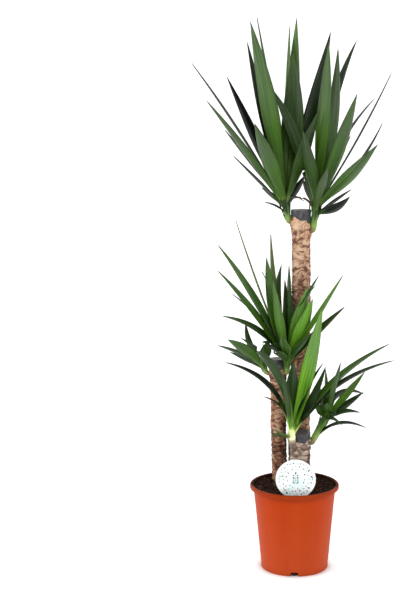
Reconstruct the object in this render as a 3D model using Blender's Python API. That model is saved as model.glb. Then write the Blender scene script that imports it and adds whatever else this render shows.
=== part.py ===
"""Potted yucca: three ringed canes with six heads of sword leaves, in a nursery pot of soil.

Metres, +Z up. The origin is the middle of the pot's underside. The viewer stands at -Y, and
+X is to the viewer's right. Each piece is one closed solid, and pieces that touch keep a
gap of 0.3 mm.
"""

import math
import random

import bmesh
import bpy
from mathutils import Vector

MM = 0.001
GAP = 0.3 * MM
MERGE_WITHIN = 0.001 * MM

# Pot: a thin tapered cup with a down-turned rim, drained by four notches in its foot
POT_HEIGHT = 203.0 * MM
POT_RIM_RADIUS = 105.0 * MM
POT_FOOT_RADIUS = 78.8 * MM
POT_NECK_RADIUS = 97.4 * MM
POT_WALL = 1.9 * MM
POT_FLOOR_UNDER = 7.5 * MM
POT_FLOOR_TOP = 9.5 * MM
POT_PAD_RADIUS = 12.0 * MM
POT_PAD_DRAFT = 1.0 * MM
FOOT_RING_INNER = 4.0 * MM
FOOT_RING_ROUND = 1.0 * MM
FOOT_CORNER = 1.6 * MM
RIM_DROP = 9.5 * MM
RIM_SHEET = 2.0 * MM
RIM_UNDERSIDE = 2.5 * MM
RIM_ROUND = 3.0 * MM
RIM_ROUND_STEPS = 2
RIM_LIP = 1.0 * MM
HEM_ROUND = 0.5 * MM
HEM_EDGE = 1.2 * MM
NOTCHES = 4
NOTCH_WIDTH = 18.5 * MM
NOTCH_HEIGHT = 10.2 * MM
NOTCH_DEPTH = 13.0 * MM
NOTCH_ARCH = 0.7
NOTCH_REACH = 6.0 * MM
POT_SIDES = 36

# Soil: it fills the pot to a little under the rim, in shallow lumps. It is banked against
# the wall, except in front, where the label stands
SOIL_LEVEL = 187.5 * MM
SOIL_LUMP = 1.56 * MM
SOIL_LUMP_LENGTH = 35.0 * MM
SOIL_BANK = 9.0 * MM
SOIL_BANK_FROM = 50.0 * MM
SOIL_BANK_FRONT = -70.0 * MM
SOIL_BANK_RUN = 50.0 * MM
SOIL_RINGS = (0.28, 0.56, 0.8, 1.0)

# Canes: foot and top are the middle of the stem in the soil and at the sawn end. Between
# the plain stretch in the soil and the plain one under the wax, the bark is ringed by scars
CANE_END = 60.0 * MM
CANE_BEND = 1.2 * MM
CANE_SLIM = 1.5 * MM
CANE_OVAL = 0.5 * MM
CANE_PLAIN_TO = 198.0 * MM
CANE_PLAIN = 30.0 * MM
RINGS_FROM = 204.0 * MM
RING_SPACING = 16.0 * MM
RING_SHIFT = 1.5 * MM
RING_GROOVE = 1.0 * MM
RING_BULGE = 0.8 * MM
RING_BULGE_AT = 0.55
RING_SWELL = 0.5 * MM
CANES = {
    "cane_tall": {
        "foot": (14.8, 36.0), "top": (14.8, 36.0, 849.0), "radius": 22.0, "sides": 10,
        "colour": (0.47, 0.29, 0.19),
    },
    "cane_medium": {
        "foot": (-29.5, 30.0), "top": (-41.6, 30.0, 497.0), "radius": 18.0, "sides": 10,
        "colour": (0.28, 0.17, 0.10),
    },
    "cane_short": {
        "foot": (9.6, -30.0), "top": (9.6, -30.0, 335.5), "radius": 25.0, "sides": 12,
        "colour": (0.28, 0.21, 0.16),
    },
}

# Wax seals: band is how far each seal runs down the cane, slant how much further on the right
WAX_SKIN = 1.3 * MM
WAX_EDGE_SKIN = 0.7 * MM
WAX_EDGE_RISE = 0.2 * MM
WAX_RUN = 4.0 * MM
WAX_UNEVEN = 0.3 * MM
WAX_TOP = 1.8 * MM
WAX_SHOULDER = 0.93
WAX_DIMPLE = 0.5
WAX_DIMPLE_TOP = 1.25 * MM
WAX_SEALS = {
    "wax_tall": {"cane": "cane_tall", "band": 19.0, "slant": 5.0, "wave": 1.6},
    "wax_medium": {"cane": "cane_medium", "band": 22.0, "slant": -1.0, "wave": 2.0},
    "wax_short": {"cane": "cane_short", "band": 17.0, "slant": 0.0, "wave": 1.8},
}

# Label: a disc and its stake, cut from one sheet
LABEL_CENTRE = (3.0, -80.0, 236.5)
LABEL_RADIUS = 46.3 * MM
LABEL_SHEET = 1.2 * MM
STAKE_WIDTH = 16.0 * MM
STAKE_END = 105.0 * MM
STAKE_POINT = 12.0 * MM
LABEL_STEPS = 36
HOLE_ABOVE = 20.0 * MM

# The sizes of the leaves were taken by eye from this point
EYE = Vector((0.0, -3200.0, 1160.0)) * MM

# Leaves: one blade's shape along its length, from 0 at the root to 1 at the tip
BLADE_STATIONS = (0.0, 0.12, 0.29, 0.48, 0.66, 0.84, 1.0)
SMALL_BLADE_STATIONS = (0.0, 0.25, 0.5, 0.76, 1.0)
SMALL_BLADE_WIDTH = 25.0 * MM
BLADE_WIDEST = 0.50
BLADE_NECK = 0.40
BLADE_TAPER = 1.45
BLADE_FOLD = 0.13
BLADE_FOLD_NECK = 0.28
BLADE_THICK = 1.6 * MM
BLADE_THICK_ROOT = 3.4 * MM
BLADE_ROOT_PART = 0.3
MIDDLE_TO_CONTROL = 4 / 3
ROOT_OFFSET = 1.5 * MM
ROOT_SHARE = 0.62
ROOT_LOWEST = 0.15
ROOT_RISE_FROM = -40.0
ROOT_RISE_RANGE = 90.0
STAGGER = 14.0 * MM
STAGGER_TURN = 0.618

# Shoots: the fleshy stems that carry the heads
SHOOT_SIDES = 8
SHOOT_NECK = 0.9
SHOOT_CROWN = 1.05
SHOOT_TIP = 0.3
SHOOT_RISE = 0.7
SHOOT_STRAIGHT = 9.0 * MM
SOCKET_DEPTH = 7.0 * MM
SOCKET_REACH = 6.0 * MM
BUD_LENGTH = 26.0 * MM

# Each leaf is (across, up, depth, width, arch, seen), in millimetres. Across and up place the
# tip as the eye sees it against the upright plane through the pot's middle; depth is how far
# behind that plane the tip really is. Arch is how far the middle of the blade rises above
# the straight line from root to tip. Seen is the share of the full width that faces the eye.
HEADS = {
    "head_tall_left": {
        "cane": "cane_tall", "foot": (-5.4, 32.0, 821.0), "heart": (-20.0, 28.0, 862.0),
        "shoot": 7.0, "colour": (0.11, 0.25, 0.05),
        "leaves": [
            (-236, 1194, 30, 30, 6, 0.10),
            (-154, 1160, 120, 36, -1, 0.62),
            (-201, 1106, -40, 34, 2, 0.45),
            (-160, 1040, 75, 32, -2, 0.25),
            (-91, 1053, -95, 42, 0, 0.85),
            (-141, 980, 10, 24, 0, 0.20),
            (-76, 906, 85, 24, 2, 0.50),
            (-69, 872, 20, 14, 4, 0.25),
            (-100, 1283, -30, 42, 6, 0.97),
            (-107, 1238, 60, 42, -4, 0.55),
            (-85, 1297, 100, 30, 4, 0.20),
            (56, 1081, -30, 38, 0, 0.75),
            (25, 934, 80, 28, 0, 0.60),
            (-11, 1272, 135, 34, 0, 0.40),
            (5, 1289, 130, 50, -15, 0.70),
            (-4, 1214, 90, 54, -13, 0.98),
            (82, 1258, 135, 38, -9, 0.90),
            (24, 872, 10, 10, 26, 0.35),
        ],
        "behind": (3, 105, 190),
    },
    "head_tall_right": {
        "cane": "cane_tall", "foot": (36.0, 32.0, 800.0), "heart": (50.0, 30.0, 858.0),
        "shoot": 7.5, "colour": (0.12, 0.27, 0.05),
        "leaves": [
            (-53, 1133, 25, 38, 13, 0.80),
            (78, 1233, -40, 42, -4, 0.80),
            (98, 1221, 20, 42, -12, 0.72),
            (141, 1238, 70, 38, 20, 0.58),
            (142, 1118, -80, 38, -5, 0.85),
            (182, 1107, 110, 28, 22, 0.20),
            (220, 1167, 60, 20, -7, 0.10),
            (200, 1053, 70, 26, -16, 0.20),
            (190, 1003, -60, 38, -6, 0.75),
            (128, 1024, 130, 24, 0, 0.35),
            (131, 901, 45, 24, 0, 0.28),
            (127, 884, -10, 30, -10, 0.66),
            (92, 938, 40, 20, 2, 0.40),
            (76, 950, -90, 30, 4, 0.65),
            (19, 1036, -85, 38, 4, 0.75),
            (18, 925, 85, 28, 2, 0.60),
            (-6, 879, -14, 12, 16, 0.30),
        ],
        "behind": (2, 80, 180),
    },
    "head_medium_right": {
        "cane": "cane_medium", "foot": (-25.4, 26.0, 463.0), "heart": (-15.0, 14.0, 496.0),
        "shoot": 6.5, "colour": (0.12, 0.28, 0.04),
        "leaves": [
            (-179, 776, -10, 32, 10, 0.52),
            (-136, 835, 60, 18, -5, 0.15),
            (-180, 715, -45, 28, 8, 0.52),
            (-147, 660, 40, 18, 12, 0.30),
            (-170, 606, -30, 28, 22, 0.50),
            (-54, 803, 85, 32, -20, 0.42),
            (-65, 745, 0, 40, -7, 0.80),
            (-29, 728, 30, 34, -30, 0.72),
            (-12, 728, 130, 26, 14, 0.55),
            (-77, 715, -25, 18, 14, 0.30),
            (-49, 690, -50, 30, -6, 0.75),
            (57, 702, -30, 26, 13, 0.52),
            (32, 675, -22, 40, 0, 0.90),
            (43, 647, -50, 36, -2, 0.85),
            (113, 704, -60, 28, -2, 0.42),
            (118, 629, -30, 32, 2, 0.50),
            (-14, 676, -10, 30, 4, 0.70),
            (-63, 621, 10, 28, 0, 0.60),
            (38, 565, -40, 26, 2, 0.60),
            (-75, 545, -40, 28, 8, 0.70),
            (-50, 520, -55, 24, 8, 0.70),
            (-30, 560, -60, 28, 0, 0.80),
            (50, 679, -45, 16, 24, 0.30),
            (-22, 694, 34, 27, 0, 0.70),
        ],
        "behind": (1, 130, 130),
    },
    "head_medium_left": {
        "cane": "cane_medium", "foot": (-59.2, 30.0, 462.0), "heart": (-73.0, 26.0, 486.0),
        "shoot": 6.0, "colour": (0.11, 0.25, 0.04),
        "leaves": [
            (-157, 550, -25, 30, 6, 0.85),
            (-180, 536, 20, 26, 4, 0.35),
            (-151, 520, 60, 26, 1, 0.45),
            (-113, 592, 20, 26, -12, 0.55),
        ],
        "behind": (1, 102, 62),
    },
    "head_short_front": {
        "cane": "cane_short", "foot": (-0.2, -53.0, 305.0), "heart": (-7.0, -66.5, 346.0),
        "shoot": 7.5, "colour": (0.13, 0.30, 0.04),
        "leaves": [
            (66, 628, -72, 38, -2, 0.90),
            (-2, 500, -30, 38, 2, 0.92),
            (-127, 555, -125, 34, 36, 0.62),
            (-165, 496, -50, 26, 37, 0.45),
            (-73, 414, -75, 16, 18, 0.45),
            (224, 542, -75, 32, 24, 0.45),
            (235, 502, -48, 26, 30, 0.42),
            (68, 496, -75, 18, 9, 0.50),
            (-57, 327, -95, 14, -4, 0.45),
            (-47, 336, -115, 14, -4, 0.45),
            (-28, 470, -105, 22, 0, 0.60),
            (67, 405, -80, 30, 6, 0.70),
            (73, 487, -60, 26, -8, 0.70),
        ],
        "behind": (0, 90, 100),
    },
    "head_short_right": {
        "cane": "cane_short", "foot": (33.4, -34.0, 310.5), "heart": (77.0, -36.0, 383.0),
        "shoot": 7.6, "colour": (0.10, 0.24, 0.04),
        "leaves": [
            (164, 474, -30, 26, -3, 0.65),
            (162, 426, 25, 28, 0, 0.60),
            (165, 419, 60, 26, 44, 0.50),
            (154, 376, -70, 22, 15, 0.55),
            (113, 345, -85, 18, 28, 0.60),
            (169, 339, -45, 20, 23, 0.38),
            (108, 497, -145, 20, 0, 0.60),
            (73, 480, 20, 20, 2, 0.50),
            (46, 392, -30, 26, 6, 0.90),
            (58, 440, 45, 22, 2, 0.65),
            (78, 400, -60, 24, 0, 0.95),
        ],
        "behind": (1, 100, 70),
    },
}

# The leaves on the side that faces away: each head's count, middle turn in degrees and length
BEHIND_WIDTH = 28.0 * MM
BEHIND_SPREAD = math.radians(26)
BEHIND_RISE = math.radians(52)
BEHIND_RISE_SPREAD = 0.12
BEHIND_LENGTHS = (0.85, 1.1)
BEHIND_ARCH = 0.06
RANDOM_SEED = 11

POT_COLOUR = (0.53, 0.075, 0.016)
SOIL_COLOUR = (0.028, 0.014, 0.008)
WAX_COLOUR = (0.045, 0.045, 0.05)
LABEL_COLOUR = (0.85, 0.87, 0.87)


def clear_scene():
    """Start from an empty scene."""
    for thing in list(bpy.data.objects):
        bpy.data.objects.remove(thing, do_unlink=True)


def vec(values):
    """A place given in millimetres, in metres."""
    return Vector(values) * MM


def finish(name, colour, roughness):
    """A plain Principled material."""
    material = bpy.data.materials.new(name)
    material.use_nodes = True
    shader = material.node_tree.nodes["Principled BSDF"]
    shader.inputs["Base Color"].default_value = (*colour, 1.0)
    shader.inputs["Roughness"].default_value = roughness
    shader.inputs["Metallic"].default_value = 0.0
    return material


def put(name, mesh, material=None, collection=None):
    """Place a mesh in the scene as an object."""
    thing = bpy.data.objects.new(name, mesh)
    (collection or bpy.context.scene.collection).objects.link(thing)
    if material:
        mesh.materials.append(material)
    return thing


def solid(name, verts, faces):
    """A closed mesh whose faces all point out."""
    mesh = bpy.data.meshes.new(name)
    mesh.from_pydata([tuple(v) for v in verts], [], faces)
    shaped = bmesh.new()
    shaped.from_mesh(mesh)
    bmesh.ops.recalc_face_normals(shaped, faces=shaped.faces)
    shaped.to_mesh(mesh)
    shaped.free()
    return mesh


def smooth(mesh, degrees=35):
    """Shade a round piece smooth, with its real edges sharp."""
    mesh.shade_smooth()
    mesh.set_sharp_from_angle(angle=math.radians(degrees))


def loft(name, rings):
    """A closed solid through rings of the same number of points, with flat ends."""
    sides = len(rings[0])
    verts = [point for ring in rings for point in ring]
    faces = []
    for row in range(len(rings) - 1):
        for side in range(sides):
            turn = (side + 1) % sides
            low, high = row * sides, (row + 1) * sides
            faces.append((low + side, low + turn, high + turn, high + side))
    faces.append(tuple(range(sides)))
    faces.append(tuple(range(len(verts) - sides, len(verts))))
    return solid(name, verts, faces)


def circle(centre, radius, sides, height):
    """Points round an upright axis. Radius and height may be functions of the angle."""
    points = []
    for side in range(sides):
        angle = 2 * math.pi * side / sides
        r = radius(angle) if callable(radius) else radius
        z = height(angle) if callable(height) else height
        points.append(Vector((centre[0] + r * math.cos(angle),
                              centre[1] + r * math.sin(angle), z)))
    return points


def tube(name, path, radii, sides):
    """A round solid along a path, its section carried on without twisting."""
    along = [(path[min(i + 1, len(path) - 1)] - path[max(i - 1, 0)]).normalized()
             for i in range(len(path))]
    side = along[0].cross(Vector((0.0, 0.0, 1.0))).normalized()
    rings = []
    for point, direction, radius in zip(path, along, radii):
        side = (side - direction * side.dot(direction)).normalized()
        up = direction.cross(side)
        rings.append([
            point + radius * (side * math.cos(2 * math.pi * k / sides)
                              + up * math.sin(2 * math.pi * k / sides))
            for k in range(sides)
        ])
    return loft(name, rings)


def apply_modifiers(thing):
    """Turn an object's modifiers into its mesh."""
    ready = thing.evaluated_get(bpy.context.evaluated_depsgraph_get())
    mesh = bpy.data.meshes.new_from_object(ready)
    thing.modifiers.clear()
    old = thing.data
    thing.data = mesh
    bpy.data.meshes.remove(old)


def cut(thing, cutters):
    """Take the cutters' shapes out of an object."""
    tools = bpy.data.collections.new(thing.name + ".cutters")
    bpy.context.scene.collection.children.link(tools)
    for number, mesh in enumerate(cutters):
        cutter = put(f"{thing.name}.cutter.{number}", mesh, collection=tools)
        cutter.hide_render = True
        cutter.display_type = "WIRE"
    boolean = thing.modifiers.new("cut", "BOOLEAN")
    boolean.operation = "DIFFERENCE"
    boolean.operand_type = "COLLECTION"
    boolean.collection = tools
    boolean.solver = "EXACT"
    apply_modifiers(thing)
    remove_collection(tools)


def fuse(thing, meshes):
    """Grow the meshes together with an object, in one union."""
    grown = bpy.data.collections.new(thing.name + ".grown")
    bpy.context.scene.collection.children.link(grown)
    for number, mesh in enumerate(meshes):
        put(f"{thing.name}.leaf.{number}", mesh, collection=grown)
    boolean = thing.modifiers.new("fuse", "BOOLEAN")
    boolean.operation = "UNION"
    boolean.operand_type = "COLLECTION"
    boolean.collection = grown
    boolean.solver = "MANIFOLD"
    apply_modifiers(thing)
    remove_collection(grown)


def remove_collection(collection):
    """Drop a collection with all that is in it."""
    for thing in list(collection.objects):
        bpy.data.objects.remove(thing, do_unlink=True)
    bpy.data.collections.remove(collection)


def keep_largest_body(mesh):
    """Fill the hollows that a union sealed and drop its loose scraps."""
    shaped = bmesh.new()
    shaped.from_mesh(mesh)
    shaped.verts.ensure_lookup_table()
    waiting = set(shaped.verts)
    bodies = []
    while waiting:
        front = [waiting.pop()]
        body = set(front)
        while front:
            vertex = front.pop()
            for edge in vertex.link_edges:
                other = edge.other_vert(vertex)
                if other in waiting:
                    waiting.discard(other)
                    body.add(other)
                    front.append(other)
        bodies.append(body)
    largest = max(bodies, key=len)
    scraps = [vertex for body in bodies if body is not largest for vertex in body]
    bmesh.ops.delete(shaped, geom=scraps, context="VERTS")
    shaped.to_mesh(mesh)
    shaped.free()


def pot_outer_radius(z):
    """The pot's outer wall at a height."""
    share = z / (POT_HEIGHT - RIM_UNDERSIDE)
    return POT_FOOT_RADIUS + (POT_NECK_RADIUS - POT_FOOT_RADIUS) * share


def pot_inner_radius(z):
    """The pot's inner wall at a height."""
    return pot_outer_radius(z) - POT_WALL


def pot_outline():
    """Half the pot's section: from the middle of the foot, over the rim, to the floor inside."""
    rim = POT_RIM_RADIUS
    top = POT_HEIGHT
    foot = POT_FOOT_RADIUS
    outline = [
        (0.0, 0.0),
        (POT_PAD_RADIUS, 0.0),
        (POT_PAD_RADIUS + POT_PAD_DRAFT, POT_FLOOR_UNDER),
        (foot - FOOT_RING_INNER, POT_FLOOR_UNDER),
        (foot - FOOT_RING_INNER + FOOT_RING_ROUND, 0.0),
        (foot - FOOT_RING_ROUND, 0.0),
        (pot_outer_radius(FOOT_CORNER), FOOT_CORNER),
        (POT_NECK_RADIUS, top - RIM_UNDERSIDE),
        (rim - RIM_SHEET - HEM_ROUND, top - RIM_UNDERSIDE),
        (rim - RIM_SHEET, top - RIM_DROP + HEM_ROUND),
        (rim - HEM_ROUND, top - RIM_DROP),
        (rim, top - RIM_DROP + HEM_EDGE),
    ]
    for step in range(RIM_ROUND_STEPS + 1):
        angle = math.pi / 2 * step / RIM_ROUND_STEPS
        outline.append((rim - RIM_ROUND + RIM_ROUND * math.cos(angle),
                        top - RIM_ROUND + RIM_ROUND * math.sin(angle)))
    outline += [
        (POT_NECK_RADIUS + RIM_LIP, top),
        (pot_inner_radius(top - RIM_UNDERSIDE), top - RIM_UNDERSIDE),
        (pot_inner_radius(POT_FLOOR_TOP), POT_FLOOR_TOP),
        (0.0, POT_FLOOR_TOP),
    ]
    return outline


def spun(name, outline, sides):
    """Spin an outline once round the upright axis."""
    shaped = bmesh.new()
    verts = [shaped.verts.new((r, 0.0, z)) for r, z in outline]
    edges = [shaped.edges.new(pair) for pair in zip(verts, verts[1:])]
    bmesh.ops.spin(shaped, geom=verts + edges, cent=(0, 0, 0), axis=(0, 0, 1),
                   angle=2 * math.pi, steps=sides, use_merge=True, use_duplicate=False)
    bmesh.ops.remove_doubles(shaped, verts=shaped.verts, dist=MERGE_WITHIN)
    bmesh.ops.recalc_face_normals(shaped, faces=shaped.faces)
    mesh = bpy.data.meshes.new(name)
    shaped.to_mesh(mesh)
    shaped.free()
    return mesh


def notch_cutter(angle):
    """An arched block that opens the foot of the pot and the edge of its floor."""
    half, top, arch = NOTCH_WIDTH / 2, NOTCH_HEIGHT, NOTCH_ARCH
    outline = [(-half, -MM), (-half, top * arch), (-half * arch, top),
               (half * arch, top), (half, top * arch), (half, -MM)]
    inner = POT_FOOT_RADIUS - NOTCH_DEPTH
    outer = POT_FOOT_RADIUS + NOTCH_REACH
    out = Vector((math.cos(angle), math.sin(angle), 0.0))
    across = Vector((-math.sin(angle), math.cos(angle), 0.0))
    rings = [[out * reach + across * x + Vector((0.0, 0.0, z)) for x, z in outline]
             for reach in (inner, outer)]
    return loft("notch", rings)


def make_pot():
    """The pot, turned, with its drain notches cut."""
    mesh = spun("pot", pot_outline(), POT_SIDES)
    pot = put("pot", mesh, finish("pot_plastic", POT_COLOUR, 0.38))
    turns = [math.tau * k / NOTCHES - math.pi / 2 for k in range(NOTCHES)]
    cut(pot, [notch_cutter(turn) for turn in turns])
    smooth(pot.data)


def soil_bank(x, y):
    """The share of the bank at a place: full at the wall, none where the label stands."""
    rise = (math.hypot(x, y) - SOIL_BANK_FROM) / (POT_NECK_RADIUS - SOIL_BANK_FROM)
    rise = max(0.0, min(1.0, rise))
    back = max(0.0, min(1.0, (y - SOIL_BANK_FRONT) / SOIL_BANK_RUN))
    return back * rise * rise * (3 - 2 * rise)


def soil_height(x, y):
    """Lumpy ground: broad lumps with smaller ones slantwise over them, and the bank."""
    turn = math.tau / SOIL_LUMP_LENGTH
    lumps = (math.sin(x * turn + 1.3) * math.cos(y * turn * 0.9 - 0.4)
             + 0.6 * math.sin((x * 1.8 - y * 1.5) * turn + 2.0))
    return SOIL_LEVEL + SOIL_BANK * soil_bank(x, y) + SOIL_LUMP * lumps


def cane_middle(cane, z):
    """Where the middle of a cane is at a height, with a slight natural bend."""
    foot_x, foot_y = (value * MM for value in cane["foot"])
    top = vec(cane["top"])
    share = (min(z, top.z - CANE_PLAIN) - CANE_END) / (top.z - CANE_END)
    bend = CANE_BEND * math.sin(share * math.tau * 1.5)
    return (foot_x + (top.x - foot_x) * share + bend, foot_y + (top.y - foot_y) * share)


def cane_rows(cane):
    """Rows of a cane from its end in the soil to the sawn top: height and radius."""
    radius = cane["radius"] * MM
    top = cane["top"][2] * MM
    rows = [(CANE_END, radius - CANE_SLIM), (CANE_PLAIN_TO, radius - CANE_SLIM)]
    count = int((top - CANE_PLAIN - RINGS_FROM) / RING_SPACING)
    for ring in range(count):
        z = RINGS_FROM + ring * RING_SPACING + RING_SHIFT * math.sin(ring * 2.4)
        swell = RING_SWELL * math.sin(ring * 1.9)
        rows.append((z, radius - RING_GROOVE + swell))
        rows.append((z + RING_SPACING * RING_BULGE_AT, radius + RING_BULGE + swell))
    rows.append((top - CANE_PLAIN, radius))
    rows.append((top, radius))
    return rows


def cane_ring(cane, z, radius):
    """One row of points round a cane: a circle where it is plain, a turning oval elsewhere."""
    ringed = RINGS_FROM - GAP < z < cane["top"][2] * MM - CANE_PLAIN - GAP
    oval = CANE_OVAL if ringed else 0.0
    return circle(cane_middle(cane, z), lambda angle: radius + oval * math.sin(2 * angle + z * 90),
                  cane["sides"], z)


def make_cane(name):
    """A cane with its ring scars, and a plain socket for each shoot that it carries."""
    cane = CANES[name]
    mesh = loft(name, [cane_ring(cane, z, r) for z, r in cane_rows(cane)])
    thing = put(name, mesh, finish(name + "_bark", cane["colour"], 0.85))
    sockets = [socket_cutter(head) for head in HEADS.values() if head["cane"] == name]
    cut(thing, sockets)
    smooth(thing.data, 60)


def soil_hole(cane):
    """The plain hole in which a cane stands."""
    radius = cane["radius"] * MM - CANE_SLIM + GAP / math.cos(math.pi / cane["sides"])
    rows = (CANE_END - GAP, CANE_PLAIN_TO, POT_HEIGHT + HOLE_ABOVE)
    return loft("hole", [circle(cane_middle(cane, z), radius, cane["sides"], z) for z in rows])


def stake_slot():
    """The slot in which the label's stake stands."""
    x, y, z = vec(LABEL_CENTRE)
    half = STAKE_WIDTH / 2 + GAP
    outline = [(-half, POT_HEIGHT + HOLE_ABOVE), (half, POT_HEIGHT + HOLE_ABOVE),
               (half, STAKE_END + STAKE_POINT), (0.0, STAKE_END - 2 * GAP),
               (-half, STAKE_END + STAKE_POINT)]
    depth = LABEL_SHEET / 2 + GAP
    return loft("slot", [[Vector((x + px, y + side * depth, pz)) for px, pz in outline]
                         for side in (-1, 1)])


def make_soil():
    """The soil, as a plug that fits the pot, with its lumpy top and plain holes."""
    floor = POT_FLOOR_TOP + GAP
    slack = GAP / math.cos(math.pi / POT_SIDES)
    top_radius = pot_inner_radius(SOIL_LEVEL) - slack
    rings = [circle((0, 0), pot_inner_radius(floor) - slack, POT_SIDES, floor)]
    for share in reversed(SOIL_RINGS):
        ring = circle((0, 0), top_radius * share, POT_SIDES, SOIL_LEVEL)
        for point in ring:
            point.z = soil_height(point.x, point.y)
            if share == 1.0:
                point.z = SOIL_LEVEL + SOIL_BANK * soil_bank(point.x, point.y)
                grown = (pot_inner_radius(point.z) - slack) / top_radius
                point.x, point.y = point.x * grown, point.y * grown
        rings.append(ring)
    soil = put("soil", loft("soil", rings), finish("compost", SOIL_COLOUR, 0.95))
    cut(soil, [soil_hole(cane) for cane in CANES.values()] + [stake_slot()])


def make_wax(name):
    """A wax seal over a sawn top: a thin cap whose lower edge ran down unevenly."""
    seal = WAX_SEALS[name]
    cane = CANES[seal["cane"]]
    sides = cane["sides"]
    top = cane["top"][2] * MM
    bore = cane["radius"] * MM + GAP / math.cos(math.pi / sides)
    centre = cane_middle(cane, top)

    def edge(angle):
        drop = seal["band"] + seal["slant"] * math.cos(angle) + seal["wave"] * math.sin(3 * angle)
        return top - drop * MM

    def skin(angle):
        return bore + WAX_SKIN + WAX_UNEVEN * math.sin(2 * angle + 1)

    rings = [
        circle(centre, bore * WAX_DIMPLE, sides, top + GAP),
        circle(centre, bore, sides, top + GAP),
        circle(centre, bore, sides, edge),
        circle(centre, bore + WAX_EDGE_SKIN, sides, lambda angle: edge(angle) + WAX_EDGE_RISE),
        circle(centre, skin, sides, lambda angle: edge(angle) + WAX_RUN),
        circle(centre, skin, sides, top),
        circle(centre, bore * WAX_SHOULDER, sides, top + WAX_TOP),
        circle(centre, bore * WAX_DIMPLE, sides, top + WAX_DIMPLE_TOP),
    ]
    mesh = loft(name, rings)
    smooth(mesh, 50)
    put(name, mesh, finish(name + "_wax", WAX_COLOUR, 0.45))


def make_label():
    """The round label on its stake."""
    centre = vec(LABEL_CENTRE)
    half = STAKE_WIDTH / 2
    shoulder = math.asin(half / LABEL_RADIUS)
    outline = []
    for step in range(LABEL_STEPS + 1):
        angle = -math.pi / 2 + shoulder + (math.tau - 2 * shoulder) * step / LABEL_STEPS
        outline.append((LABEL_RADIUS * math.cos(angle), LABEL_RADIUS * math.sin(angle)))
    outline += [(-half, STAKE_END + STAKE_POINT - centre.z), (0.0, STAKE_END - centre.z),
                (half, STAKE_END + STAKE_POINT - centre.z)]
    rings = [[centre + Vector((x, side * LABEL_SHEET / 2, z)) for x, z in outline]
             for side in (-1, 1)]
    put("plant_label", loft("plant_label", rings), finish("label_sheet", LABEL_COLOUR, 0.4))


def shoot_line(head):
    """The middle of a shoot: out of its socket, straight for a little, then up to the bud."""
    foot, heart = vec(head["foot"]), vec(head["heart"])
    cane = CANES[head["cane"]]
    middle = Vector((*cane_middle(cane, foot.z), foot.z))
    out = (foot - middle).normalized()
    rise = (heart - foot).normalized()
    first = (out + rise * SHOOT_RISE).normalized()
    knee = foot + first * SHOOT_STRAIGHT
    up = (heart - knee).normalized()
    bud = heart + (up + Vector((0, 0, 1))).normalized() * BUD_LENGTH
    return foot - first * SOCKET_DEPTH, foot, knee, heart, bud


def socket_cutter(head):
    """The plain socket in a cane for the root of a shoot."""
    deep, foot, knee, _, _ = shoot_line(head)
    first = (foot - deep).normalized()
    radius = head["shoot"] * MM * SHOOT_NECK + GAP / math.cos(math.pi / SHOOT_SIDES)
    return tube("socket", [deep - first * GAP, foot, knee + first * SOCKET_REACH],
                [radius] * 3, SHOOT_SIDES)


def make_shoot(name, head):
    """The stem and bud of a head, before its leaves."""
    deep, foot, knee, heart, bud = shoot_line(head)
    full = head["shoot"] * MM
    neck = full * SHOOT_NECK
    path = [deep, foot, knee, knee.lerp(heart, 0.5), heart, bud]
    radii = [neck, neck, neck, full, full * SHOOT_CROWN, full * SHOOT_TIP]
    return tube(name, path, radii, SHOOT_SIDES)


def tip_place(across, up, depth):
    """A tip's real place: on the line from the eye through (across, up) in the middle plane."""
    seen = Vector((across * MM, 0.0, up * MM))
    ray = seen - EYE
    return EYE + ray * ((depth * MM - EYE.y) / ray.y)


def blade_share(s):
    """A blade's width at s, as a share of its full width."""
    if s < BLADE_WIDEST:
        rise = s / BLADE_WIDEST
        return BLADE_NECK + (1 - BLADE_NECK) * rise * rise * (3 - 2 * rise)
    return 1 - ((s - BLADE_WIDEST) / (1 - BLADE_WIDEST)) ** BLADE_TAPER


def blade_line(root, tip, arch, out, stations):
    """Points and directions along a blade's middle, at the stations."""
    chord = tip - root
    direction = chord.normalized()
    lift = Vector((0, 0, 1)) - direction * direction.z
    if lift.length < 0.2:
        lift = -out
    lift = (lift - direction * lift.dot(direction)).normalized() * arch * MIDDLE_TO_CONTROL
    one, two = root + chord / 3 + lift, root + chord * 2 / 3 + lift
    points = []
    for s in stations:
        t = 1 - s
        place = root * t ** 3 + one * 3 * t * t * s + two * 3 * t * s * s + tip * s ** 3
        slope = (one - root) * t * t + (two - one) * 2 * t * s + (tip - two) * s * s
        points.append((place, slope.normalized()))
    return points


def blade_frame(tangent, place, axis, out, seen):
    """The blade's width and upper-face directions, turned so that its share seen is right."""
    grown = axis.cross(out)
    grown = (grown - tangent * grown.dot(tangent)).normalized()
    sight = (place - EYE).normalized()
    broad = tangent.cross(sight).normalized()
    edge = broad.cross(tangent).normalized()
    if seen is None:
        width = grown
    else:
        width = (broad * math.copysign(seen, grown.dot(broad))
                 + edge * math.copysign(math.sqrt(1 - seen * seen), grown.dot(edge)))
    upper = width.cross(tangent).normalized()
    if upper.dot(axis - out) < 0:
        upper = -upper
    return width, upper


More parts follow.
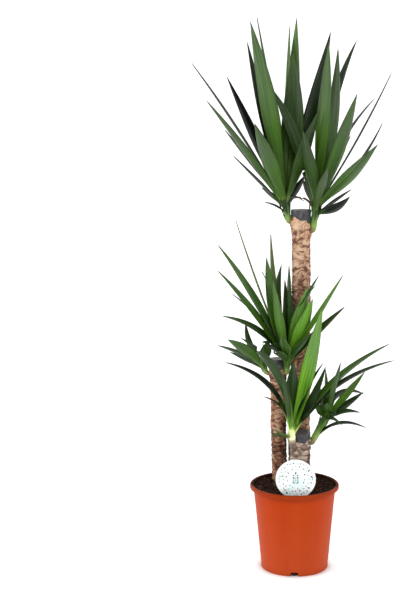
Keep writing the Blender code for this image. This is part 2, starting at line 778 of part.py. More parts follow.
def blade(root, tip, width, arch, seen, axis, root_half):
    """One sword leaf: a thin shallow V, its quads split alike on both faces."""
    out = (tip - root) - axis * (tip - root).dot(axis)
    out = out.normalized() if out.length > 5 * MM else Vector((0, -1, 0))
    stations = BLADE_STATIONS if width > SMALL_BLADE_WIDTH else SMALL_BLADE_STATIONS
    line = blade_line(root, tip, arch, out, stations)
    verts = []
    for s, (place, tangent) in zip(stations[:-1], line[:-1]):
        across, upper = blade_frame(tangent, place, axis, out, seen)
        half = width * blade_share(s) / 2 if s > 0 else min(root_half, width * BLADE_NECK / 2)
        near_root = max(0.0, 1 - s / BLADE_ROOT_PART)
        sink = half * (BLADE_FOLD + (BLADE_FOLD_NECK - BLADE_FOLD) * near_root)
        thick = BLADE_THICK + (BLADE_THICK_ROOT - BLADE_THICK) * near_root
        verts += [place - across * half + upper * sink, place - upper * sink,
                  place + across * half + upper * sink, place - upper * (sink + thick)]
    verts.append(tip)
    faces = [(0, 1, 2), (0, 2, 3)]
    for row in range(len(stations) - 2):
        low, high = 4 * row, 4 * row + 4
        for outer in (0, 2):
            for middle in (1, 3):
                faces.append((low + outer, low + middle, high + middle))
                faces.append((low + outer, high + middle, high + outer))
    last = len(verts) - 5
    faces += [(last + k, last + (k + 1) % 4, last + 4) for k in range(4)]
    return solid("leaf", verts, faces)


def leaf_root(head, tip, number):
    """Where a leaf leaves its shoot: upright leaves from the top, level ones from lower down.

    Neighbours in the list are staggered, so that no two leaves start at one height.
    """
    _, _, knee, heart, _ = shoot_line(head)
    chord = tip - heart
    rise = math.degrees(math.asin(max(-1.0, min(1.0, chord.z / chord.length))))
    share = max(ROOT_LOWEST, min(1.0, (rise - ROOT_RISE_FROM) / ROOT_RISE_RANGE))
    root = knee.lerp(heart, share)
    root += (heart - knee).normalized() * ((number * STAGGER_TURN) % 1.0 - 0.5) * STAGGER
    out = tip - root
    return root + Vector((out.x, out.y, 0.0)).normalized() * ROOT_OFFSET


def seen_leaves(head):
    """The leaves that the table lists."""
    axis = (vec(head["heart"]) - vec(head["foot"])).normalized()
    axis = (axis + Vector((0, 0, 2))).normalized()
    leaves = []
    for number, (across, up, depth, width, arch, seen) in enumerate(head["leaves"]):
        tip = tip_place(across, up, depth)
        leaves.append(blade(leaf_root(head, tip, number), tip, width * MM, arch * MM, seen,
                            axis, head["shoot"] * MM * ROOT_SHARE))
    return leaves


def leaves_behind(head, chance):
    """A fan of leaves on the side that faces away, which the table doesn't list."""
    count, turn, length = head["behind"]
    heart = vec(head["heart"])
    axis = Vector((0, 0, 1))
    leaves = []
    for number in range(count):
        share = number / max(1, count - 1) - 0.5
        angle = math.radians(turn) + BEHIND_SPREAD * 2 * share
        rise = BEHIND_RISE + chance.uniform(-BEHIND_RISE_SPREAD, BEHIND_RISE_SPREAD)
        reach = length * MM * chance.uniform(*BEHIND_LENGTHS)
        tip = heart + reach * Vector((math.cos(angle) * math.cos(rise),
                                      math.sin(angle) * math.cos(rise), math.sin(rise)))
        leaves.append(blade(leaf_root(head, tip, number + 0.5), tip, BEHIND_WIDTH,
                            reach * BEHIND_ARCH, None, axis, head["shoot"] * MM * ROOT_SHARE))
    return leaves


def make_head(name, chance):
    """A head of leaves, grown together with its shoot in one solid."""
    head = HEADS[name]
    thing = put(name, make_shoot(name, head), finish(name + "_leaf", head["colour"], 0.4))
    fuse(thing, seen_leaves(head) + leaves_behind(head, chance))
    keep_largest_body(thing.data)


def main():
    """Build the whole plant in its pot."""
    chance = random.Random(RANDOM_SEED)
    clear_scene()
    make_pot()
    make_soil()
    for name in CANES:
        make_cane(name)
    for name in WAX_SEALS:
        make_wax(name)
    for name in HEADS:
        make_head(name, chance)
    make_label()


main()
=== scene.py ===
"""Potted yucca: its looks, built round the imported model.

Metres, +Z up. The origin is the middle of the pot's underside, and the viewer stands at -Y.
Lengths in the tables are in millimetres.
"""

import itertools
import math
import random

import bmesh
import bpy
import numpy as np
from mathutils import Matrix, Vector


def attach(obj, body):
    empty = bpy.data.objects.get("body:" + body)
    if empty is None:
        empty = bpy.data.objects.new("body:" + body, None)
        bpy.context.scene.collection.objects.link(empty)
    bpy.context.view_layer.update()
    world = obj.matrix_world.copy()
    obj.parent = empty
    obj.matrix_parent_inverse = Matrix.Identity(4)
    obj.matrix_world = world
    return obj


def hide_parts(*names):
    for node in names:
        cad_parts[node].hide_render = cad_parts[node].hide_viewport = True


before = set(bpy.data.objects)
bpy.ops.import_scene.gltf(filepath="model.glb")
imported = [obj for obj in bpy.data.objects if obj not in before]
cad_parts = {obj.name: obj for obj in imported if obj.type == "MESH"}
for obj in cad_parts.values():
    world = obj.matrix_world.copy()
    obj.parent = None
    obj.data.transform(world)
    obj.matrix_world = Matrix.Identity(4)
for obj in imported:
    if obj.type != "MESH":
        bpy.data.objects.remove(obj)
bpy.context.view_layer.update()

MM = 0.001
UP = Vector((0.0, 0.0, 1.0))
BODY = "root"
RANDOM_SEED = 5

# Camera: the photograph's frame is 400 by 591, and the plant stands right of its middle
FRAME_HEIGHT = 591.0
FOCAL_PIXELS = 1392.0
PLANT_OFFSET_PIXELS = 94.4
EYE = Vector((0.0, -3200.0, 1160.0)) * MM
AIM = Vector((0.0, 0.0, 653.8)) * MM
SENSOR = 36.0

# Pot, whose wall has a shallow sunk panel. Soil stains its inner wall, and its rim from the
# y in STAIN_FROM backwards
POT_HEIGHT = 203.0
POT_RIM_RADIUS = 105.0
POT_FOOT_RADIUS = 78.8
POT_NECK_RADIUS = 97.4
POT_WALL = 1.9
POT_FLOOR_UNDER = 7.5
POT_FLOOR_TOP = 9.5
POT_PAD_RADIUS = 12.0
POT_SIDES = 192
POT_SHARP = math.radians(38)
HEM_ROUND = 2.2
HEM_TOP = 8.6
PANEL_TOP = 164.2
PANEL_SINK = 0.25
PANEL_STEPS = 12
RIM_DROP = 9.5
RIM_SHEET = 2.0
RIM_ROUND = 3.0
RIM_UNDERSIDE = 2.5
RIM_EDGE = 0.9
NOTCHES = 4
NOTCH_WIDTH = 18.5
NOTCH_HEIGHT = 10.2
NOTCH_DEPTH = 13.0
NOTCH_ROUND = 3.4
NOTCH_FLARE = 3.0
STAIN_REACH = 99.6
STAIN_FADE = 5.0
STAIN_FROM = -62.0
STAIN_RUN = 40.0
STAIN_MOST = 0.52

# Soil, banked up towards the pot's wall, and the loose crumbs on it
SOIL_LEVEL = 187.5
SOIL_GAP = 0.3
SOIL_LUMP = 1.56
SOIL_LUMP_LENGTH = 35.0
SOIL_BANK = 9.0
SOIL_BANK_FROM = 50.0
SOIL_BANK_FRONT = -70.0
SOIL_BANK_RUN = 50.0
SOIL_RINGS = 74
SOIL_SIDES = 240
SOIL_EDGE_FROM = 0.9
SOIL_EDGE_GROWTH = 0.09
CRUMBS = 900
CRUMB_SIZES = (1.3, 1.8, 2.2, 2.8, 3.6, 4.6)
CRUMB_REACH = 1.4
CRUMB_LIFT = 0.1
CRUMB_TILT = 0.35
CRUMB_TINT = (0.35, 0.28)

# Canes, as in the solids: foot and top are the middle of the stem. An eye is an oval scar: a turn
# in degrees, a height, half a width and half a height. Below the height in fade the bark is
# painted darker, as painted shade, over the run and by the share that follow. darker is painted
# shade at the edges: it has a share of the radius and a drop for the left edge of the front, and
# for the right one. band is how far down the wax reaches, and the bark is pale just below it. bark
# has the colours of ridges, folds, grooves and patches; its dark grooves are partly its own colour
# and partly painted shade. All bark is damp and dark just over the soil
CANE_END = 60.0
CANE_BEND = 1.2
CANE_PLAIN = 30.0
FOOT_SLIMMER = 1.5
FOOT_LIGHT = 0.3
BARK_FROM = 150.0
BARK_SEED = 40
BARK_LIFT = 0.1
BARK_LIGHT = 0.55
CALM_TO = 2.0
CALM_RUN = 14.0
CALM_SHARE = 0.15
PALE_RISE = 0.30
PALE_BELOW = 5.0
PALE_REACH = 5.5
SCAR_REACH = 1.2
SCAR_RINGS = 0.62
EDGE_RUN = 0.07
COLLAR_RISE = 3.8
COLLAR_REACH = 13.0
COLLAR_SQUEEZE = 0.8
DAMP_TO = 203.0
DAMP_RUN = 10.0
DAMP_DROP = 0.5
CANES = {
    "cane_tall": {
        "foot": (14.8, 36.0), "top": (14.8, 36.0, 849.0), "radius": 22.0, "band": 21.0,
        "sides": 132, "rows": 600, "slot": "bark_tall",
        "fade": (735.0, 90.0, 0.24), "darker": ((0.72, 0.16), (0.84, 0.08)),
        "eyes": [(238, 668, 9, 5), (75, 560, 10, 6), (160, 300, 9, 7)],
        "bark": ((0.64, 0.45, 0.315), (0.42, 0.245, 0.155), (0.13, 0.062, 0.038),
                 (0.86, 0.74, 0.68)),
    },
    "cane_medium": {
        "foot": (-29.5, 30.0), "top": (-41.6, 30.0, 497.0), "radius": 18.0, "band": 22.0,
        "sides": 120, "rows": 330, "slot": "bark_medium",
        "fade": (380.0, 60.0, 0.18), "darker": ((2.0, 0.0), (0.72, 0.34)),
        "eyes": [(270, 262, 12, 8), (60, 300, 11, 7)],
        "bark": ((0.52, 0.345, 0.235), (0.24, 0.12, 0.068), (0.05, 0.022, 0.013),
                 (0.82, 0.58, 0.46)),
    },
    "cane_short": {
        "foot": (9.6, -30.0), "top": (9.6, -30.0, 335.5), "radius": 25.0, "band": 17.0,
        "sides": 144, "rows": 200, "slot": "bark_short",
        "fade": (290.0, 30.0, 0.10), "darker": ((0.76, 0.75), (0.74, 0.24)),
        "eyes": [(258, 292, 12, 8), (300, 306, 10, 8), (100, 270, 12, 8)],
        "bark": ((0.60, 0.51, 0.43), (0.27, 0.195, 0.15), (0.055, 0.038, 0.028),
                 (0.84, 0.70, 0.62)),
    },
}

# Wax seals: a drip is a turn in degrees, a length and half a width in degrees. WAX_LID has the
# top's rings, each a share of its radius and a rise
WAX_GAP = 0.35
WAX_SKIN = 1.25
WAX_LEDGE = 1.2
WAX_SIDES = 120
WAX_ROWS = 30
WAX_SEED = 100
WAX_LID = ((0.99, 0.9), (0.93, 1.5), (0.8, 1.7), (0.6, 1.4), (0.4, 1.1), (0.2, 1.0))
WAX_SEALS = {
    "wax_tall": {"cane": "cane_tall", "band": 19.0, "slant": 5.0, "wave": 1.6,
                 "drips": [(-38, 11, 13), (-150, 4, 12), (70, 6, 15)]},
    "wax_medium": {"cane": "cane_medium", "band": 22.0, "slant": -1.0, "wave": 2.0,
                   "drips": [(-120, 4, 14), (60, 6, 16)]},
    "wax_short": {"cane": "cane_short", "band": 17.0, "slant": 0.0, "wave": 1.8,
                  "drips": [(-60, 4, 12), (120, 5, 14)]},
}

# Label. PRINT_RINGS has how many small leaves each ring has, its share of the radius, and their
# length
LABEL_CENTRE = (3.0, -80.0, 236.5)
LABEL_RADIUS = 46.3
LABEL_SHEET = 1.2
STAKE_WIDTH = 16.0
STAKE_END = 105.0
STAKE_POINT = 12.0
INK_SINK = 0.05
INK_RISE = 0.06
PRINT_RINGS = ((30, 0.81, 5.6), (20, 0.64, 4.8), (13, 0.47, 4.2))
INKS = {"ink_deep": (0.012, 0.085, 0.10), "ink_mid": (0.06, 0.27, 0.28),
        "ink_pale": (0.30, 0.62, 0.60)}

# Blades and shoots. A leaf in HEADS is (across, up, depth, width, arch, seen): its tip is seen at
# across and up in the plant's middle plane and stands at depth, and seen is the share of its
# width that faces the eye. behind is how many leaves a head has at its back, with their turn and
# their length. A head is brown up to BROWN_FROM over its foot, or less where its base is less
# pale. A scale leaf hugs its shoot
BLADE_STATIONS = 34
BLADE_ACROSS = 11
BLADE_WIDEST = 0.50
BLADE_NECK = 0.40
BLADE_TAPER = 1.65
BLADE_FOLD = 0.13
BLADE_FOLD_NECK = 0.28
BLADE_THICK = 1.5
BLADE_THICK_ROOT = 3.4
BLADE_ROOT_PART = 0.3
BLADE_BLEND = 0.12
BLADE_BOW = 1.25
BLADE_BOW_GAIN = 0.5
BLADE_UPRIGHT = 5.0
BLADE_RIPPLE = 0.045
RIPPLE_LENGTH = 38.0
MIDDLE_TO_CONTROL = 4 / 3
ROOT_OFFSET = 1.5
ROOT_SHARE = 0.62
ROOT_LOWEST = 0.15
ROOT_RISE_FROM = -40.0
ROOT_RISE_RANGE = 90.0
STAGGER = 14.0
STAGGER_TURN = 0.618
SHOOT_SIDES = 28
SHOOT_ROWS = 44
SHOOT_SHEATHS = 7
SHOOT_NECK = 0.9
SHOOT_CROWN = 1.05
SHOOT_TIP = 0.3
SHOOT_RISE = 0.7
SHOOT_STRAIGHT = 9.0
SOCKET_DEPTH = 7.0
BUD_LENGTH = 26.0
BEHIND_WIDTH = 28.0
BEHIND_SPREAD = math.radians(26)
BEHIND_RISE = math.radians(52)
BEHIND_RISE_SPREAD = 0.12
BEHIND_LENGTHS = (0.85, 1.1)
BEHIND_ARCH = 0.06
BEHIND_SEED = 11
PALE_BASE = 0.3
BROWN_FROM = 29.0
BROWN_RUN = 10.0
SCALES = 6
SCALE_LENGTHS = (42.0, 74.0)
SCALE_WIDTHS = (1.15, 1.55)
SCALE_LEAN = 0.16

# A leaf's tone is (how light, how yellow, how dry, how lit one half is), each from 0 to 1. How
# light is partly the leaf's own tone and partly painted shade, and the lit half is painted light.
# A head's tones has one letter for each of its leaves. Each head also has three numbers: how deep
# its green is, how bright it is, which is painted light and shade over the whole head, and how far
# its tones spread from MIDDLE_TONE, which deepens the painted light and shade
MIDDLE_TONE = 0.55
TONE_SWAY = 0.05
LIT_MIDDLE = 0.32
LIT_REACH = 0.36
LIT_SIDE = 0.12
SHOOT_TONE = (0.6, 0.5, 0.0)
TONES = {
    "K": (0.05, 0.00, 0.0, 0.0),
    "D": (0.28, 0.00, 0.0, 0.0),
    "M": (0.55, 0.08, 0.0, 0.1),
    "L": (0.80, 0.08, 0.0, 0.2),
    "B": (1.00, 0.25, 0.0, 1.0),
    "Y": (0.50, 0.60, 0.0, 0.2),
    "Z": (0.72, 0.85, 0.0, 0.2),
    "V": (0.74, 1.00, 0.0, 0.0),
    "P": (0.62, 0.35, 0.3, 0.0),
    "O": (0.45, 0.45, 0.3, 0.0),
    "R": (0.30, 0.20, 0.8, 0.0),
}
HEADS = {
    "head_tall_left": {
        "cane": "cane_tall", "foot": (-5.4, 32.0, 821.0), "heart": (-20.0, 28.0, 862.0),
        "shoot": 7.0, "tones": "DKMDLDKDLDMMDVVLDR", "finish": (0.80, 0.69, 1.25),
        "leaves": [
            (-236, 1194, 30, 30, 6, 0.10), (-154, 1160, 120, 36, -1, 0.62),
            (-201, 1106, -40, 34, 2, 0.45), (-160, 1040, 75, 32, -2, 0.25),
            (-91, 1053, -95, 42, 0, 0.85), (-141, 980, 10, 24, 0, 0.20),
            (-76, 906, 85, 24, 2, 0.50), (-69, 872, 20, 14, 4, 0.25),
            (-100, 1283, -30, 42, 6, 0.97), (-107, 1238, 60, 42, -4, 0.55),
            (-85, 1297, 100, 30, 4, 0.20), (56, 1081, -30, 38, 0, 0.75),
            (25, 934, 80, 28, 0, 0.60), (-11, 1272, 135, 34, 0, 0.40),
            (5, 1289, 130, 50, -15, 0.70), (-4, 1214, 90, 54, -13, 0.98),
            (82, 1258, 135, 38, -9, 0.90), (24, 872, 10, 10, 26, 0.35),
        ],
        "behind": (3, 105, 190),
    },
    "head_tall_right": {
        "cane": "cane_tall", "foot": (36.0, 32.0, 800.0), "heart": (50.0, 30.0, 858.0),
        "shoot": 7.5, "tones": "MLMDLDDDLDDKDMMDR", "finish": (0.80, 0.69, 1.25),
        "leaves": [
            (-53, 1133, 25, 38, 13, 0.80), (78, 1233, -40, 42, -4, 0.80),
            (98, 1221, 20, 42, -12, 0.72), (141, 1238, 70, 38, 20, 0.58),
            (142, 1118, -80, 38, -5, 0.85), (182, 1107, 110, 28, 22, 0.20),
            (220, 1167, 60, 20, -7, 0.10), (200, 1053, 70, 26, -16, 0.20),
            (190, 1003, -60, 38, -6, 0.75), (128, 1024, 130, 24, 0, 0.35),
            (131, 901, 45, 24, 0, 0.28), (127, 884, -10, 30, -10, 0.66),
            (92, 938, 40, 20, 2, 0.40), (76, 950, -90, 30, 4, 0.65),
            (19, 1036, -85, 38, 4, 0.75), (18, 925, 85, 28, 2, 0.60),
            (-6, 879, -14, 12, 16, 0.30),
        ],
        "behind": (2, 80, 180),
    },
    "head_medium_right": {
        "cane": "cane_medium", "foot": (-25.4, 26.0, 463.0), "heart": (-15.0, 14.0, 496.0),
        "shoot": 6.5, "tones": "MPMDDPMDDDLDBZYDKDDKDMDD", "finish": (0.96, 1.38, 0.78),
        "leaves": [
            (-179, 776, -10, 32, 10, 0.52), (-136, 835, 60, 18, -5, 0.15),
            (-180, 715, -45, 28, 8, 0.52), (-147, 660, 40, 18, 12, 0.30),
            (-170, 606, -30, 28, 22, 0.50), (-54, 803, 85, 32, -20, 0.42),
            (-65, 745, 0, 40, -7, 0.80), (-29, 728, 30, 34, -30, 0.72),
            (-12, 728, 130, 26, 14, 0.55), (-77, 715, -25, 18, 14, 0.30),
            (-49, 690, -50, 30, -6, 0.75), (57, 702, -30, 26, 13, 0.52),
            (32, 675, -22, 40, 0, 0.90), (43, 647, -50, 36, -2, 0.85),
            (113, 704, -60, 28, -2, 0.42), (118, 629, -30, 32, 2, 0.50),
            (-14, 676, -10, 30, 4, 0.70), (-63, 621, 10, 28, 0, 0.60),
            (38, 565, -40, 26, 2, 0.60), (-75, 545, -40, 28, 8, 0.70),
            (-50, 520, -55, 24, 8, 0.70), (-30, 560, -60, 28, 0, 0.80),
            (50, 679, -45, 16, 24, 0.30), (-22, 694, 34, 27, 0, 0.70),
        ],
        "behind": (1, 130, 130),
    },
    "head_medium_left": {
        "cane": "cane_medium", "foot": (-59.2, 30.0, 462.0), "heart": (-73.0, 26.0, 486.0),
        "shoot": 6.0, "tones": "MDDM", "finish": (0.92, 1.2, 1.0),
        "leaves": [
            (-157, 550, -25, 30, 6, 0.85), (-180, 536, 20, 26, 4, 0.35),
            (-151, 520, 60, 26, 1, 0.45), (-113, 592, 20, 26, -12, 0.55),
        ],
        "behind": (1, 102, 62),
    },
    "head_short_front": {
        "cane": "cane_short", "foot": (-0.2, -53.0, 305.0), "heart": (-7.0, -66.5, 346.0),
        "shoot": 7.5, "pale": 1.0, "scales": 0, "tones": "BDDKRMDKOODKD",
        "finish": (0.92, 1.12, 1.0),
        "leaves": [
            (66, 628, -72, 38, -2, 0.90), (-2, 500, -30, 38, 2, 0.92),
            (-127, 555, -125, 34, 36, 0.62), (-165, 496, -50, 26, 37, 0.45),
            (-73, 414, -75, 16, 18, 0.45), (224, 542, -75, 32, 24, 0.45),
            (235, 502, -48, 26, 30, 0.42), (68, 496, -75, 18, 9, 0.50),
            (-57, 327, -95, 14, -4, 0.45), (-47, 336, -115, 14, -4, 0.45),
            (-28, 470, -105, 22, 0, 0.60), (67, 405, -80, 30, 6, 0.70),
            (73, 487, -60, 26, -8, 0.70),
        ],
        "behind": (0, 90, 100),
    },
    "head_short_right": {
        "cane": "cane_short", "foot": (33.4, -34.0, 310.5), "heart": (77.0, -36.0, 383.0),
        "shoot": 7.6, "tones": "ZDKDDKDDYDM", "finish": (0.92, 1.2, 1.0),
        "leaves": [
            (164, 474, -30, 26, -3, 0.65), (162, 426, 25, 28, 0, 0.60),
            (165, 419, 60, 26, 44, 0.50), (154, 376, -70, 22, 15, 0.55),
            (113, 345, -85, 18, 28, 0.60), (169, 339, -45, 20, 23, 0.38),
            (108, 497, -145, 20, 0, 0.60), (73, 480, 20, 20, 2, 0.50),
            (46, 392, -30, 26, 6, 0.90), (58, 440, 45, 22, 2, 0.65),
            (78, 400, -60, 24, 0, 0.95),
        ],
        "behind": (1, 100, 70),
    },
}

# The stage, in metres: half its width, and the front, back, height and bend of its long curve.
# Its glow starts at the pot's foot, at these shares of GLOW_REACH metres
STAGE_HALF = 22.0
STAGE_FRONT = -18.0
STAGE_BACK = 10.0
STAGE_HEIGHT = 21.0
STAGE_BEND = 3.0
STAGE_STEPS = 16
STAGE_TINTS = ((0.0, 0.90), (1.0, 0.93))
GLOW_REACH = 4.0
GLOW = ((0.0197, 0.0), (0.0202, 0.28), (0.027, 0.47), (0.7, 0.8))

# The sky lights the plant a little, and is white where the camera sees it. Each lamp has a place,
# an aim and a size in metres, and a power
SKY_LIGHT = 0.12
SKY_SEEN = 1.0
LAMPS = {
    "left": ((-2.5, -1.1, 1.5), (0.0, 0.0, 0.65), (1.2, 2.4), 47.0),
    "right": ((2.5, -1.0, 1.4), (0.0, 0.0, 0.6), (0.9, 2.2), 30.0),
    "top": ((0.2, -2.6, 2.9), (0.0, 0.0, 0.6), (1.5, 1.0), 43.0),
}


def clamp(value):
    """A number, held between 0 and 1."""
    return min(1.0, max(0.0, value))


def vec(values):
    """A place given in millimetres, in metres."""
    return Vector(values) * MM


def lattice(cells, seed):
    """A repeatable value from 0 to 1 for each whole-numbered cell."""
    with np.errstate(over="ignore"):
        word = (cells[..., 0] * 374761393 + cells[..., 1] * 668265263
                + cells[..., 2] * 1442695041 + seed * 1274126177).astype(np.uint32)
        word = (word ^ (word >> np.uint32(13))) * np.uint32(1274126177)
        word = (word ^ (word >> np.uint32(15))) * np.uint32(2246822519)
    return ((word >> np.uint32(8)) & np.uint32(0xFFFF)).astype(float) / 65535


def noise(points, cell, seed):
    """Smooth noise from -1 to 1 at points, in cells of the given size."""
    scaled = points / cell
    whole = np.floor(scaled).astype(np.int64)
    part = scaled - whole
    ease = part * part * (3 - 2 * part)
    total = np.zeros(points.shape[:-1])
    for corner in itertools.product((0, 1), repeat=3):
        weight = np.ones(points.shape[:-1])
        for axis in range(3):
            weight = weight * (ease[..., axis] if corner[axis] else 1 - ease[..., axis])
        total += weight * lattice(whole + np.array(corner), seed)
    return 2 * total - 1


def ring_angles(sides):
    """Angles at equal steps round a ring."""
    return np.arange(sides) * math.tau / sides


def ring_places(angle, radius, z, middle=(0.0, 0.0)):
    """Places round an upright line, at angles, radii and heights that may be arrays."""
    x, y = middle[0] + radius * np.cos(angle), middle[1] + radius * np.sin(angle)
    return np.stack(np.broadcast_arrays(x, y, z), axis=-1)


def turned_off(angle, middle):
    """How far angles are turned from a middle one, between half a turn back and half ahead."""
    return (angle - middle + math.pi) % math.tau - math.pi


def grid_faces(rows, columns, closed):
    """Quads over a grid of points, joined round each row if it is closed."""
    across = columns if closed else columns - 1
    faces = []
    for row in range(rows - 1):
        for column in range(across):
            turn = (column + 1) % columns
            low, high = row * columns, (row + 1) * columns
            faces.append((low + column, low + turn, high + turn, high + column))
    return faces


def tube_faces(rows, columns):
    """Quads over a stack of closed rings, and a flat face over each end."""
    ends = [tuple(range(columns)), tuple(range((rows - 1) * columns, rows * columns))]
    return grid_faces(rows, columns, True) + ends


def face_out(mesh, weld=False):
    """Turn all faces out. Points in one place are welded first if that is asked."""
    shaped = bmesh.new()
    shaped.from_mesh(mesh)
    if weld:
        bmesh.ops.remove_doubles(shaped, verts=shaped.verts, dist=1e-6)
    bmesh.ops.recalc_face_normals(shaped, faces=shaped.faces)
    shaped.to_mesh(mesh)
    shaped.free()


def add_piece(name, verts, faces, materials, smooth=True):
    """A mesh object, with all its faces facing out."""
    mesh = bpy.data.meshes.new(name)
    mesh.from_pydata([tuple(v) for v in verts], [], faces)
    for material in materials:
        mesh.materials.append(material)
    face_out(mesh)
    if smooth:
        mesh.shade_smooth()
    thing = bpy.data.objects.new(name, mesh)
    bpy.context.scene.collection.objects.link(thing)
    return thing


def stand_for(thing, node):
    """The piece takes a node's place and moves with the model."""
    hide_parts(node)
    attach(thing, BODY)


def put_values(mesh, name, values, kind="FLOAT"):
    """Store a value, or a vector, on each point of a mesh for its material."""
    attribute = mesh.attributes.new(name, kind, "POINT")
    key = "vector" if kind == "FLOAT_VECTOR" else "value"
    attribute.data.foreach_set(key, np.asarray(values, dtype=np.float32).ravel())


class Look:
    """A material whose nodes are added one after another."""

    def __init__(self, name, roughness=0.5, **constants):
        self.material = bpy.data.materials.new(name)
        self.material.use_nodes = True
        self.tree = self.material.node_tree
        self.shader = self.tree.nodes["Principled BSDF"]
        self.shader.inputs["Roughness"].default_value = roughness
        for socket, value in constants.items():
            self.shader.inputs[socket.replace("_", " ")].default_value = value

    def node(self, kind, feeds=(), **settings):
        """A new node, with each fed input linked to an output or set to a value."""
        made = self.tree.nodes.new(kind)
        for key, value in settings.items():
            setattr(made, key, value)
        for socket, given in dict(feeds).items():
            target = made.inputs[socket]
            if isinstance(given, bpy.types.NodeSocket):
                self.tree.links.new(given, target)
            else:
                target.default_value = (*given, 1.0) if target.type == "RGBA" else given
        return made

    def feed(self, socket, output):
        """Link an output to the material's shader."""
        self.tree.links.new(output, self.shader.inputs[socket])

    def place(self, stretch=(1, 1, 1), attribute=None):
        """Coordinates in metres, or from a stored vector, stretched."""
        if attribute:
            source = self.node("ShaderNodeAttribute", attribute_name=attribute).outputs["Vector"]
        else:
            source = self.node("ShaderNodeTexCoord").outputs["Object"]
        feeds = {"Vector": source, "Scale": stretch}
        return self.node("ShaderNodeMapping", feeds).outputs["Vector"]

    def value(self, attribute):
        """A stored value."""
        return self.node("ShaderNodeAttribute", attribute_name=attribute).outputs["Fac"]

    def grain(self, place, scale, detail=4.0, roughness=0.55, distortion=0.0):
        """Noise from 0 to 1."""
        feeds = {"Vector": place, "Scale": scale, "Detail": detail, "Roughness": roughness,
                 "Distortion": distortion}
        return self.node("ShaderNodeTexNoise", feeds).outputs["Fac"]

    def ramp(self, source, stops):
        """Colours, or greys, along a value."""
        made = self.node("ShaderNodeValToRGB", {"Fac": source})
        points = made.color_ramp.elements
        while len(points) < len(stops):
            points.new(0.5)
        for point, (position, colour) in zip(points, stops):
            point.position = position
            if isinstance(colour, (int, float)):
                colour = (colour, colour, colour)
            point.color = (*colour, 1.0)
        return made.outputs["Color"]

    def mix(self, factor, first, second, blend="MIX"):
        feeds = {0: factor, 6: first, 7: second}
        return self.node("ShaderNodeMix", feeds, data_type="RGBA", blend_type=blend).outputs[2]

    def multiply(self, first, second):
        return self.mix(1.0, first, second, "MULTIPLY")

    def shaded(self, body, source, *stops):
        """A colour made darker and lighter along a value."""
        return self.multiply(body, self.ramp(source, stops))

    def math(self, operation, first, second=0.0):
        return self.node("ShaderNodeMath", {0: first, 1: second}, operation=operation).outputs[0]

    def range(self, source, low, high, to_low=0.0, to_high=1.0):
        """A value's stretch from low to high, as a stretch between two others."""
        feeds = dict(enumerate((source, low, high, to_low, to_high)))
        return self.node("ShaderNodeMapRange", feeds).outputs[0]

    def bump(self, height, strength, distance):
        feeds = {"Height": height, "Strength": strength, "Distance": distance}
        self.feed("Normal", self.node("ShaderNodeBump", feeds).outputs["Normal"])

    def finished(self, colour):
        """The material, with its colour linked."""
        self.feed("Base Color", colour)
        return self.material


